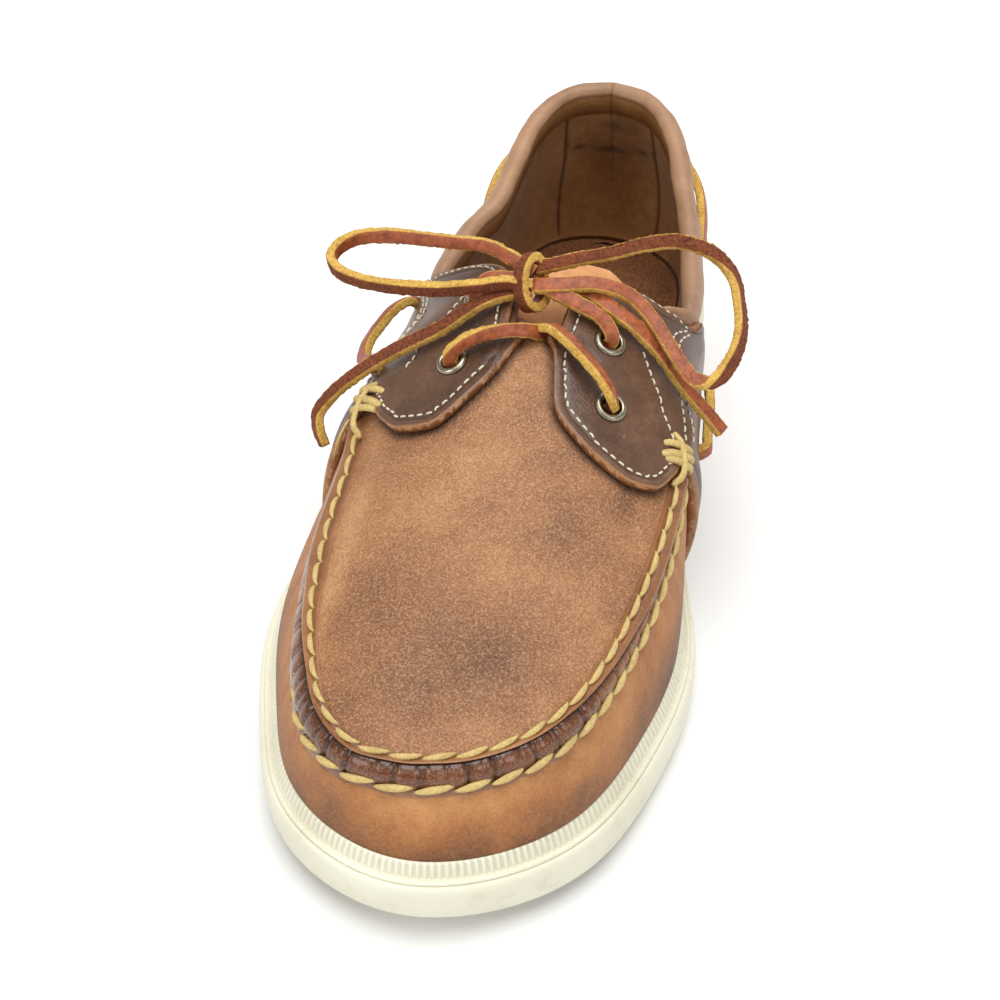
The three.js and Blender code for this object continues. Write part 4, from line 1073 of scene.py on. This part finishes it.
# Painted shade on the upper along each saddle's free edge, in the gap under the flap.
GAP_SHADE, GAP_WIDE = 0.85, 1.5
flap_gap_shade = np.zeros(len(upper.data.vertices), np.float32)
leather_points = np.array([tuple(corner.co) for corner in upper.data.vertices]) / MM
near_flap = (leather_points[:, 1] > -160) & (leather_points[:, 1] < -95) & (leather_points[:, 2] > 45)
for side in SECTIONS:
    edge, _ = flap_edge(side)
    dark = GAP_SHADE * lump(away_from(leather_points[near_flap], edge[::3]), 0, GAP_WIDE)
    flap_gap_shade[near_flap] = np.maximum(flap_gap_shade[near_flap], dark)
upper.data.attributes.new("dark", "FLOAT", "POINT").data.foreach_set("value", flap_gap_shade)
cut_holes(upper, EYELETS)
cut_holes(lining, EYELETS)

# ---------------------------------------------------------------------------------------------
# Eyelets: four rolled rings of antiqued nickel, pressed through the saddles and clinched inside.
# ---------------------------------------------------------------------------------------------
EYELET_SIDES = 64
EYELET_PROFILE = [
    # radius and height over the upper, round the section of the ring
    (2.7, -2.6), (2.7, 3.4), (2.78, 3.8), (3.0, 4.08), (3.35, 4.22), (3.75, 4.18), (4.15, 3.95), (4.42, 3.55),
    (4.5, 3.2), (4.4, 2.95), (3.3, 2.95), (3.1, 2.6), (3.1, -2.4), (2.9, -2.6),
]


def nickel(paint):
    """Nickel with a brownish bloom in its hollows and fine rub marks."""
    bloom = noise(paint, 420, 4, roughness=0.6).between(0.4, 0.7)
    rub = noise(paint, 2600, 3)
    return mix(rgb(176, 168, 148), rgb(96, 84, 66), bloom * 0.6), bloom * 0.2 + 0.26, rub, 0.02


nickel_paint = material("antique_nickel", nickel, metallic=1.0)
names = ["eyelet_medial_front", "eyelet_medial_back", "eyelet_lateral_front", "eyelet_lateral_back"]
for name, spot in zip(names, EYELETS):
    middle, way, across, other = square_axes(*spot)
    rings = []
    for turn in np.linspace(0, 2 * math.pi, EYELET_SIDES, endpoint=False):
        spoke = math.cos(turn) * across + math.sin(turn) * other
        rings.append([middle + spoke * radius + way * high for radius, high in EYELET_PROFILE])
    eyelet = piece(name + "_ring", rings, tube_faces(EYELET_SIDES, len(EYELET_PROFILE), closed=True),
                   nickel_paint)
    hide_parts(name)

# ---------------------------------------------------------------------------------------------
# Lace: one thong of rawhide, smooth and rust coloured on one face and rough on the other, with
# yellow cut edges. It goes through the front and back eyelets, ties in a bow, and runs round the
# quarters through slots in the leather.
# ---------------------------------------------------------------------------------------------
LACE_WIDE, LACE_THICK = 3.8, 2.6
LACE_STEP, LACE_ROUGH = 0.9, 0.085
LACE_SECTION = []  # across, over, cut side and rough back
for share in (-0.82, -0.45, 0, 0.45, 0.82):
    LACE_SECTION.append((share * LACE_WIDE / 2, LACE_THICK / 2 + 0.1 * (1 - share ** 2), 0, 0))
for share in (0.8, 0.25, -0.25, -0.8):
    LACE_SECTION.append((LACE_WIDE / 2, share * LACE_THICK / 2, 1, 0))
for share in (0.82, 0.45, 0, -0.45, -0.82):
    LACE_SECTION.append((share * LACE_WIDE / 2, -LACE_THICK / 2 - 0.1 * (1 - share ** 2), 0, 1))
for share in (-0.8, -0.25, 0.25, 0.8):
    LACE_SECTION.append((-LACE_WIDE / 2, share * LACE_THICK / 2, 1, 0))
LACE_SECTION = np.array(LACE_SECTION)


def read_line(spots, run, line):
    """Points of a line at some lengths along it."""
    return np.stack([np.interp(spots, run, line[:, k]) for k in range(3)], -1)


def through(points):
    """Evenly spaced points of the smooth line through the given ones, and its length."""
    points = np.array(points, float)
    knots = np.concatenate([[0], np.cumsum(np.linalg.norm(np.diff(points, axis=0), axis=1) ** 0.5)])
    slopes = np.gradient(points, knots, axis=0)
    fine = np.linspace(0, knots[-1], 60 * len(points))
    spot = np.clip(np.searchsorted(knots, fine, side="right") - 1, 0, len(points) - 2)
    wide = (knots[spot + 1] - knots[spot])[:, None]
    f = (fine[:, None] - knots[spot][:, None]) / wide
    line = hermite(f, points[spot], points[spot + 1], slopes[spot] * wide, slopes[spot + 1] * wide)
    run = run_length(line)
    even = np.linspace(0, run[-1], round(run[-1] / LACE_STEP) + 1)
    return read_line(even, run, line), run[-1]


def lace(name, points, looks, nodes, seed):
    """Length of lace whose rust face looks the given ways at the given shares of it."""
    line, length = through(points)
    shares, ways = zip(*looks)
    way = read_line(np.linspace(0, 1, len(line)), shares, np.array(ways))
    run = unit(np.gradient(line, axis=0))
    way = unit(way - run * np.sum(way * run, axis=-1, keepdims=True))
    across = np.cross(run, way)
    chance = np.random.default_rng(seed)
    swell = 0.07 * np.sin(np.linspace(0, length / 9, len(line)) + seed)
    wide = 1 + swell + chance.normal(0, 0.012, len(line))
    rough = chance.normal(0, LACE_ROUGH, (len(line), len(LACE_SECTION)))
    rough *= 0.3 + 0.7 * np.maximum(LACE_SECTION[:, 2], LACE_SECTION[:, 3])
    push = 1 + rough / 1.6
    rings = line[:, None] + across[:, None] * (LACE_SECTION[:, 0] * wide[:, None] * push)[..., None]
    rings = rings + way[:, None] * (LACE_SECTION[:, 1] * push)[..., None]
    masks = {"cut": np.broadcast_to(LACE_SECTION[:, 2], rings.shape[:2]),
             "suede": np.broadcast_to(LACE_SECTION[:, 3], rings.shape[:2])}
    made = piece(name, rings, tube_faces(*rings.shape[:2]), lace_paint, masks, weld=False)
    if nodes:
        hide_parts(*nodes)
    return made, line, length


def rawhide(paint):
    """Waxed rust face with fine cross wrinkles, a dark rough back and fibrous yellow sides."""
    fibre = noise(paint, 1250, 4, roughness=0.75)
    soft = noise(paint, 160, 4)
    wrinkle = noise(paint, 560, 3, roughness=0.6, distortion=0.6)
    rust = mix(rgb(108, 48, 24), rgb(186, 102, 60), (wrinkle * 1.7 + soft * 0.8 - 0.72).held())
    back = mix(rgb(56, 24, 10), rgb(158, 84, 46), (fibre * 2.4 + soft * 0.4 - 0.95).held())
    side = mix(rgb(146, 92, 24), rgb(244, 204, 104), (fibre * 2.0 + soft * 0.6 - 0.75).held())
    colour = mix(mix(rust, back, mask(paint, "suede")), side, mask(paint, "cut"))
    rougher = (mask(paint, "suede") + mask(paint, "cut")).held()
    return colour, rougher * 0.4 + 0.46, fibre * rougher + wrinkle * 0.8, 0.26


lace_paint = material("rawhide", rawhide, specular_ior_level=0.4)


def bore(hole, *heights):
    """Points on the axis of an eyelet, at heights over the upper."""
    middle, way, _, _ = square_axes(*EYELETS[hole])
    return [tuple(middle + way * high) for high in heights]


TOWARDS = np.array((0.06, -0.75, 0.65))
strands = {
    "lace_strand_lateral": (
        bore(2, -2.5, 1, 5) + [(-14.5, -127.6, 83.4), (-10.5, -125.4, 84.9), (-4.4, -123.1, 85.8),
                               (1, -120.8, 85.2), (4.2, -118, 83), (6.4, -114.6, 80), (9, -112.2, 77.1),
                               (14, -110, 77)],
        [(0, (0.3, -0.8, -0.5)), (0.25, (0.1, -0.9, -0.2)), (0.5, (0, -0.8, 0.5)), (1, (0, -0.6, 0.8))]),
    "lace_strand_medial": (
        bore(0, -2.5, 1, 5) + [(25.6, -133.1, 80.6), (20.4, -128.6, 83.4), (14, -123.6, 85.8),
                               (9.4, -120, 86.2), (5, -116.5, 83.4), (1, -112.4, 79.8), (-3.3, -108.4, 78),
                               (-9, -105.5, 78)],
        [(0, (0.6, 0.2, 0.7)), (0.3, (0.6, 0.1, 0.75)), (0.6, (0.5, 0, 0.8)), (1, (0, -0.3, 0.9))]),
    "lace_rise_medial": (
        bore(1, -2.5, 1, 5) + [(21, -112.8, 86.6), (15.2, -111.4, 88.7), (9.1, -109.4, 90), (3, -107, 91)],
        [(0, (0.2, -0.6, 0.7)), (1, (0, -0.6, 0.8))]),
    "lace_rise_lateral": (
        bore(3, -2.5, 1, 5) + [(-12.2, -106.2, 89.4), (-7, -106, 90.6), (-2, -106, 91)],
        [(0, (-0.2, -0.6, 0.7)), (1, (0, -0.6, 0.8))]),
}
for seed, (name, (points, looks)) in enumerate(strands.items(), 3):
    lace(name, points, looks, ["lace_crossing"] if name == "lace_strand_lateral" else [], seed)

KNOT_CENTRE = np.array((0.5, -106.5, 91.0))
KNOT_ACROSS = np.array((1.0, 0.08, 0))
KNOT_HIGH, KNOT_DEEP, KNOT_TURN, KNOT_PITCH = 6.9, 4.9, 0.62, 0.8
KNOT_STEPS = 40
knot_up = -unit(np.cross(KNOT_ACROSS, TOWARDS))
knot_axis = unit(KNOT_ACROSS * math.cos(KNOT_TURN) + TOWARDS * math.sin(KNOT_TURN))
knot_side = np.cross(knot_axis, knot_up)
knot_line = []
for turn in np.linspace(-0.5 * math.pi, 1.5 * math.pi, KNOT_STEPS):
    spot = knot_up * math.cos(turn) * KNOT_HIGH + knot_side * math.sin(turn) * KNOT_DEEP
    knot_line.append(KNOT_CENTRE + spot + knot_axis * KNOT_PITCH * (turn / math.pi - 0.5))
knot_looks = [(share, KNOT_CENTRE - spot) for share, spot in zip(np.linspace(0, 1, KNOT_STEPS), knot_line)]
knot, _, _ = lace("bow_knot", knot_line, knot_looks, ["lace_knot"], 11)

LOOP_LATERAL = [
    (0.5, -104.2, 92.8), (-6.4, -101, 94.4), (-14.1, -97.2, 94.6), (-25.4, -95.9, 93.6),
    (-37.1, -93.4, 91.8), (-45.9, -92.1, 90.3), (-52.9, -92.8, 88.8), (-57, -95.6, 87.2),
    (-58.2, -99.4, 86), (-55, -104.4, 85.3), (-46.6, -108.2, 85.5), (-37.4, -110.8, 87),
    (-23.3, -113.5, 90), (-13, -113.4, 92.4), (-5.6, -110.6, 92.8), (0.5, -108.8, 90.6),
]
LOOP_MEDIAL = [
    (0.5, -102.6, 93), (7.4, -100.6, 94.4), (12, -98.6, 95), (19.2, -93.9, 94.6), (29.1, -84.6, 93.2),
    (37.1, -79, 91.3), (46.1, -79.1, 89), (52.3, -83.6, 86), (55.9, -93, 83), (57.8, -103.7, 80),
    (56.2, -114.6, 77.4), (52.6, -121, 76.2), (48.6, -121.6, 76.4), (44.4, -118.4, 78),
    (39.6, -113.6, 81.2), (33.7, -107.8, 85.2), (26.4, -104.6, 89.6), (18.1, -105.6, 92.2),
    (8.6, -108, 92.2), (1.5, -108.6, 91.2),
]
END_LATERAL = [
    (0.5, -108, 89.4), (-6.4, -110.8, 88.8), (-12, -114.2, 87.6), (-22, -119.8, 81.6),
    (-29.1, -120.8, 77), (-36.6, -121, 71.4), (-42.9, -121, 66), (-49, -121.5, 60.4),
    (-54.3, -122.8, 54.4), (-57, -124.9, 50), (-56.4, -127, 46), (-54.6, -128.4, 42),
]
END_MEDIAL = [
    (0.5, -105, 89.6), (7.6, -103.4, 88.8), (15.8, -105, 88.6), (23.1, -108.6, 86.9), (29, -110.2, 84),
    (36.8, -112.2, 77.6), (45.2, -115.4, 68.6), (51, -116.3, 62.4), (56.1, -117.5, 57),
]
free_laces = [
    ("bow_loop_lateral", "lace_loop_lateral", LOOP_LATERAL, "knot", [
        (0, (0, -0.8, 0.35)), (0.3, (0.2, -0.85, 0.3)), (0.47, (0.95, -0.3, 0.1)), (0.58, (0.6, 0.8, 0.1)),
        (0.75, (0, 0.95, 0.2)), (1, (0, 0.9, 0.2))]),
    ("bow_loop_medial", "lace_loop_medial", LOOP_MEDIAL, "knot", [
        (0, (0, 0.6, -0.8)), (0.25, (0, 0.75, -0.65)), (0.42, (-0.85, 0.3, -0.35)), (0.58, (-0.8, 0.1, -0.5)),
        (0.7, (-0.1, -0.2, 0.95)), (0.85, (0, -0.5, 0.85)), (1, (0, -0.5, 0.85))]),
    ("bow_end_lateral", "lace_end_lateral", END_LATERAL, "bare", [
        (0, (0.3, 0.3, -0.9)), (0.3, (0.35, 0.45, -0.85)), (0.6, (0.6, 0.6, -0.6)), (0.8, (0.75, 0.65, -0.3)),
        (1, (0.8, 0.6, 0))]),
    ("bow_end_medial", "lace_end_medial", END_MEDIAL, "bare", [
        (0, (0.2, -0.5, 0.85)), (0.5, (0.5, -0.4, 0.8)), (1, (0.7, -0.4, 0.6))]),
]
for seed, (name, node, points, far_end, looks) in enumerate(free_laces, 21):
    made, line, length = lace(name, points, looks, [node], seed)
    tuple(line[0] * MM)
    (line * MM).tolist()
    [knot] if name == "bow_loop_lateral" else []

SIDE_RUNS = [
    # name, side, up, from and to, height of the leather under it, and how far it bows out
    ("lace_side_medial_front", "medial", 0.36, 4.28, 5.05, 2.95, 0.5),
    ("lace_side_medial_back", "medial", 0.82, 6.5, 7.7, 0, 2.3),
    ("lace_side_lateral_back", "lateral", 0.82, 6.5, 7.7, 0, 2.7),
]
SLOT_REACH, SLOT_DEEP, RUN_HIGH = 0.06, 1.4, 2.0
for name, side, up, start, end, base, bow in SIDE_RUNS:
    points = [shell(side, start - SLOT_REACH, up, base - SLOT_DEEP)]
    for f in np.linspace(0, 1, 9):
        high = base + RUN_HIGH + bow * math.sin(math.pi * f)
        points.append(shell(side, start + (end - start) * f, up, high))
    points.append(shell(side, end + SLOT_REACH, up, base - SLOT_DEEP))
    way = normal(side, (start + end) / 2, up)
    lace(name.replace("lace", "thong"), points, [(0, way), (1, way)], [name], len(name))
slack = [shell("lateral", 5.2, 0.57, 0.2), shell("lateral", 5.16, 0.57, 5.1), (-43.2, -88.6, 63.4),
         (-47, -95, 60.2), (-48.6, -100.6, 58.4), (-48.2, -106, 58.2), (-46.2, -111.4, 60.2),
         shell("lateral", 4.2, 0.53, 5.1), shell("lateral", 4.14, 0.53, 0.2)]
slack_looks = [(0, (-0.7, -0.2, 0.7)), (1, (-0.8, 0, 0.6))]
lace("thong_side_lateral_front", slack, slack_looks, ["lace_side_lateral_front"], 41)

# ---------------------------------------------------------------------------------------------
# Hand sewing: thick waxed beige thread. Two rows of long slanting stitches hold the plug to the
# vamp, and a tack of three turns ties each saddle's lower corner to the seam.
# ---------------------------------------------------------------------------------------------
THREAD_STEPS = 13
LENS_LONG, LENS_WIDE, LENS_SLANT = 8.3, 0.74, 0.17
OUTER_AHEAD, ROW_CLEAR = 1.6, 0.4


def thread_rings(line, way, radii, sides=10, flat=0.8):
    """Rings of a thread that lies along a line on a face that looks the given way."""
    run = unit(np.gradient(line, axis=0))
    across = unit(np.cross(run, way))
    way = np.cross(across, run)
    turns = np.linspace(0, 2 * math.pi, sides, endpoint=False)[None, :, None]
    radii = np.asarray(radii)[:, None, None]
    return line[:, None] + radii * (np.cos(turns) * across[:, None] + flat * np.sin(turns) * way[:, None])


def on_leather(side, ats, ups, lift, radii, sides=10):
    """Rings of a thread that lies along a route on the leather."""
    return thread_rings(shell(side, ats, ups, lift), normal(side, ats, ups), radii, sides)


def sewn(name, threads, paint):
    """One piece from the rings of many stitches."""
    points, faces, start = [], [], 0
    for rings in threads:
        faces += tube_faces(len(rings), rings.shape[1], start=start)
        points.append(rings.reshape(-1, 3))
        start += rings.shape[0] * rings.shape[1]
    return piece(name, np.concatenate(points), faces, paint, weld=False)


def waxed_thread(shades, twist):
    """Drawing of plied thread, a little soiled."""

    def draw(paint):
        ply = noise(paint, twist, 3, roughness=0.6)
        soil = noise(paint, 240, 3).between(0.5, 0.8)
        colour = mix(mix(shades[0], shades[1], (ply * 1.5 - 0.15).held()), rgb(122, 88, 48), soil * 0.35)
        return colour, 0.62, ply, 0.14

    return draw


beige_paint = material("waxed_thread", waxed_thread([rgb(158, 126, 62), rgb(228, 203, 136)], 1900),
                       specular_ior_level=0.35)
lens_threads = []
bead = np.linspace(-1, 1, THREAD_STEPS)
length = run_length(inner_line)
for row, line in (("inner", inner_line), ("outer", outer_line)):
    for k in range(int(length[-1] / SEAM_PITCH)):
        centre = (k + 0.5) * SEAM_PITCH + (0 if row == "inner" else OUTER_AHEAD)
        spots = centre + bead * LENS_LONG / 2
        if spots[0] < ROW_CLEAR or spots[-1] > length[-1] - ROW_CLEAR:
            continue
        places = read_line(spots, length, line)
        middle = int(np.interp(centre, length, np.arange(len(stops))))
        slope = outer_line[middle] - inner_line[middle]
        slope = unit(slope - along[middle] * (slope @ along[middle]))
        rise = np.cross(slope, along[middle])
        rise = unit(rise if rise[2] > 0 else -rise)
        toe = float(np.clip((2.0 - stops[middle][1]) / 1.2, 0, 1))
        hidden = float(np.clip((stops[middle][1] - 1.1) / 0.8, 0, 1)) * (stops[middle][0] == "lateral")
        high = 2.0 - 1.0 * toe if row == "inner" else 1.0 - 0.6 * hidden
        slant = LENS_SLANT * (0.45 + 0.3 * toe if row == "inner" else 1.0)
        push = (-0.75 + 0.4 * toe if row == "inner" else 0.1) + slant * LENS_LONG * 0.5 * bead
        lift = high + 0.35 * (1 - bead ** 2) - 0.7 * np.abs(bead) ** 6
        if row == "outer":
            push -= 0.36 * np.linalg.norm(outer_line[middle] - inner_line[middle]) * hidden
        places = places + slope * push[:, None] + rise * lift[:, None]
        size = LENS_WIDE * (1 - 0.2 * (row == "inner")) * (1 - np.abs(bead) ** 2.0) ** 0.9 + 0.26
        lens_threads.append(thread_rings(places, rise, size))
sewn("seam_stitches", lens_threads, beige_paint)

TACKS = [
    # side, section, up of its middle, half length, slant and radius of each turn
    ("medial", 3.785, 0.512, 0.044, -0.07, 1.1), ("medial", 3.835, 0.52, 0.048, -0.11, 1.2),
    ("medial", 3.895, 0.528, 0.042, -0.08, 1.1), ("lateral", 3.835, 0.522, 0.05, -0.09, 1.1),
    ("lateral", 3.89, 0.53, 0.056, -0.14, 1.2), ("lateral", 3.955, 0.54, 0.048, -0.1, 1.1),
]
TACK_STRANDS = [
    # side, sections and ups that the strand passes, radius
    ("medial", [(3.62, 0.506), (3.72, 0.506), (3.83, 0.515), (3.93, 0.53), (3.97, 0.545)], 0.95),
    ("lateral", [(3.66, 0.508), (3.76, 0.508), (3.87, 0.522), (3.97, 0.54), (4.0, 0.55)], 0.95),
]
TACK_HIGH, STRAND_STEPS = 3.4, 24


def leather_line(route, count=240):
    """Sections and ups, evenly shared out between the places of a route on the leather."""
    share = np.linspace(0, len(route) - 1, count)
    return [np.interp(share, np.arange(len(route)), values) for values in zip(*route)]


tack_threads = []
for side, at, up, half, slant, radius in TACKS:
    ups = up + bead * half
    ats = at + bead * slant
    lift = TACK_HIGH + 0.75 - 2.6 * np.abs(bead) ** 4
    tack_threads.append(on_leather(side, ats, ups, lift, radius * (1 - 0.4 * np.abs(bead) ** 6)))
for side, route, radius in TACK_STRANDS:
    share = np.linspace(0, 1, STRAND_STEPS)
    ats, ups = leather_line(route, STRAND_STEPS)
    lift = TACK_HIGH - 0.6 + 1.9 * np.sin(math.pi * share) - 1.5 * (share < 0.1)
    tack_threads.append(on_leather(side, ats, ups, lift, np.full(STRAND_STEPS, radius)))
FRAY = [(0.0, 0.0, -3.5), (0.06, -0.03, -5.0), (-0.05, -0.02, -2.6), (0.1, 0.01, -4.2), (0.02, -0.045, -3.0)]
for k, (ahead, lower, drop) in enumerate(FRAY):
    start = shell("lateral", 3.84, 0.478, 3.6)
    end = shell("lateral", 3.7 + ahead, 0.42 + lower, 3.4) + np.array((0, 0, drop * 0.4))
    middle = (start + end) / 2 + np.array((-1.2, 0.3 * k - 0.6, 1.0))
    share = np.linspace(0, 1, 9)[:, None]
    line = (1 - share) ** 2 * start + 2 * share * (1 - share) * middle + share ** 2 * end
    tack_threads.append(thread_rings(line, np.array((-0.6, -0.4, 0.7)), np.linspace(0.34, 0.1, 9), sides=6))
sewn("corner_tacks", tack_threads, beige_paint)

# ---------------------------------------------------------------------------------------------
# Machine sewing: rows of short cream stitches along the saddles' edges, the collar's lower edge
# and both edges of the heel strap.
# ---------------------------------------------------------------------------------------------
STITCH_PITCH, ROW_INSET = 2.7, 3.1
STITCH_SPOTS = 2.05 * np.array([-0.5, -0.3, 0, 0.3, 0.5])
STITCH_LIFT = np.array([-0.4, 0.08, 0.18, 0.08, -0.4])
STITCH_RADII = 0.31 * np.array([0.6, 1, 1, 1, 0.6])


def machine_row(side, ats, ups, high):
    """Stitches one after another along a route on the leather."""
    length = run_length(face(side, ats, ups))
    made = []
    for k in range(int(length[-1] / STITCH_PITCH)):
        spots = (k + 0.5) * STITCH_PITCH + STITCH_SPOTS
        at, up = np.interp(spots, length, ats), np.interp(spots, length, ups)
        made.append(on_leather(side, at, up, high + STITCH_LIFT, STITCH_RADII, sides=7))
    return made


def edge_row(side):
    """Route that keeps a distance inside the saddle's free edge, up its front."""
    edge, _ = flap_edge(side)
    ups = np.linspace(0.53, 0.90, 130)[:-1]
    ats = []
    for at, up in zip(FLAP_FRONT[side](ups), ups):
        fine = np.linspace(at, at + 1.0, 50)
        away = away_from(face(side, fine, up), edge[::4])
        inside = np.argmax(away >= ROW_INSET)
        ats.append(fine[inside] if away[inside] >= ROW_INSET else at + 0.2)
    return np.array(ats), ups


machine_threads = []
ON_SADDLE = SADDLE_GAP + SADDLE_THICK + 0.1
for side in SECTIONS:
    ats, ups = edge_row(side)
    machine_threads += machine_row(side, ats, ups, ON_SADDLE)
    top_ats = np.linspace(ats[-1] + 0.12, 5.25, 200)
    rise = np.linalg.norm(face(side, top_ats, 0.98) - face(side, top_ats, 0.9), axis=-1) / 0.08
    machine_threads += machine_row(side, top_ats, SADDLE_TOP - ROW_INSET / rise, ON_SADDLE)
SADDLE_ROWS = [
    ("medial", [(4.38, 0.708), (4.13, 0.622), (3.9, 0.54)]),
    ("lateral", [(4.53, 0.808), (4.39, 0.761), (3.93, 0.634)]),
    ("medial", [(5.1, 0.69), (4.3, 0.549), (3.98, 0.508)]),
    ("medial", [(5.1, 0.655), (4.3, 0.518), (4.02, 0.482)]),
    ("lateral", [(5.1, 0.69), (4.5, 0.579), (4.02, 0.52)]),
    ("lateral", [(5.1, 0.66), (4.5, 0.55), (4.06, 0.49)]),
]
for side, route in SADDLE_ROWS:
    machine_threads += machine_row(side, *leather_line(route), ON_SADDLE)
for side in SECTIONS:
    collar_route = leather_line([(5.45, 0.7), (HEEL_AT - 0.32, 0.7)], 600)
    machine_threads += machine_row(side, *collar_route, 0.85)
    strap_route = leather_line([(HEEL_AT - 0.26, 0.1), (HEEL_AT - 0.22, 0.68)])
    machine_threads += machine_row(side, *strap_route, BACKSTAY_OFF + BACKSTAY_THICK + 0.1)
cream_paint = material("cream_thread", waxed_thread([rgb(190, 176, 148), rgb(244, 236, 216)], 2600),
                       specular_ior_level=0.35)
sewn("machine_stitches", machine_threads, cream_paint)

# ---------------------------------------------------------------------------------------------
# Floor and lights: a pale studio sweep under soft boxes.
# ---------------------------------------------------------------------------------------------
FLOOR_HALF, FLOOR_DROP = 40.0, 0.0002
floor_corners = [(-1, -1), (1, -1), (1, 1), (-1, 1)]
floor_corners = [(x * FLOOR_HALF, y * FLOOR_HALF, -FLOOR_DROP) for x, y in floor_corners]
floor_mesh = bpy.data.meshes.new("floor")
floor_mesh.from_pydata(floor_corners, [], [(0, 1, 2, 3)])
floor = bpy.data.objects.new("floor", floor_mesh)
bpy.context.scene.collection.objects.link(floor)
floor_paint = bpy.data.materials.new("floor")
floor_paint.use_nodes = True
floor_shader = floor_paint.node_tree.nodes["Principled BSDF"]
floor_shader.inputs["Base Color"].default_value = (0.86, 0.86, 0.86, 1)
floor_shader.inputs["Roughness"].default_value = 0.9
floor_mesh.materials.append(floor_paint)

LAMP_TARGET = (0, -0.1, 0.03)
SOFT_BOXES = [
    # name, place, size and power in watts
    ("front_left", (-1.1, -1.3, 1.0), 0.8, 8),
    ("front_right", (1.2, -1.1, 1.1), 0.8, 7),
    ("behind", (0.2, 1.2, 1.0), 1.0, 6),
]
sun = bpy.data.lights.new("overhead", "SUN")
sun.energy, sun.angle = 2.25, 0.85
stand(bpy.data.objects.new("overhead", sun), (0.0, -0.12, 1.5), (0, 0, 0))
for name, place, size, power in SOFT_BOXES:
    box = bpy.data.lights.new(name, "AREA")
    box.energy, box.size = power, size
    stand(bpy.data.objects.new(name, box), place, LAMP_TARGET)
world = bpy.data.worlds.new("studio")
world.use_nodes = True
background = world.node_tree.nodes["Background"]
background.inputs[0].default_value = (1, 1, 1, 1)
background.inputs[1].default_value = 0.36
bpy.context.scene.world = world
bpy.context.scene.view_settings.view_transform = "Standard"
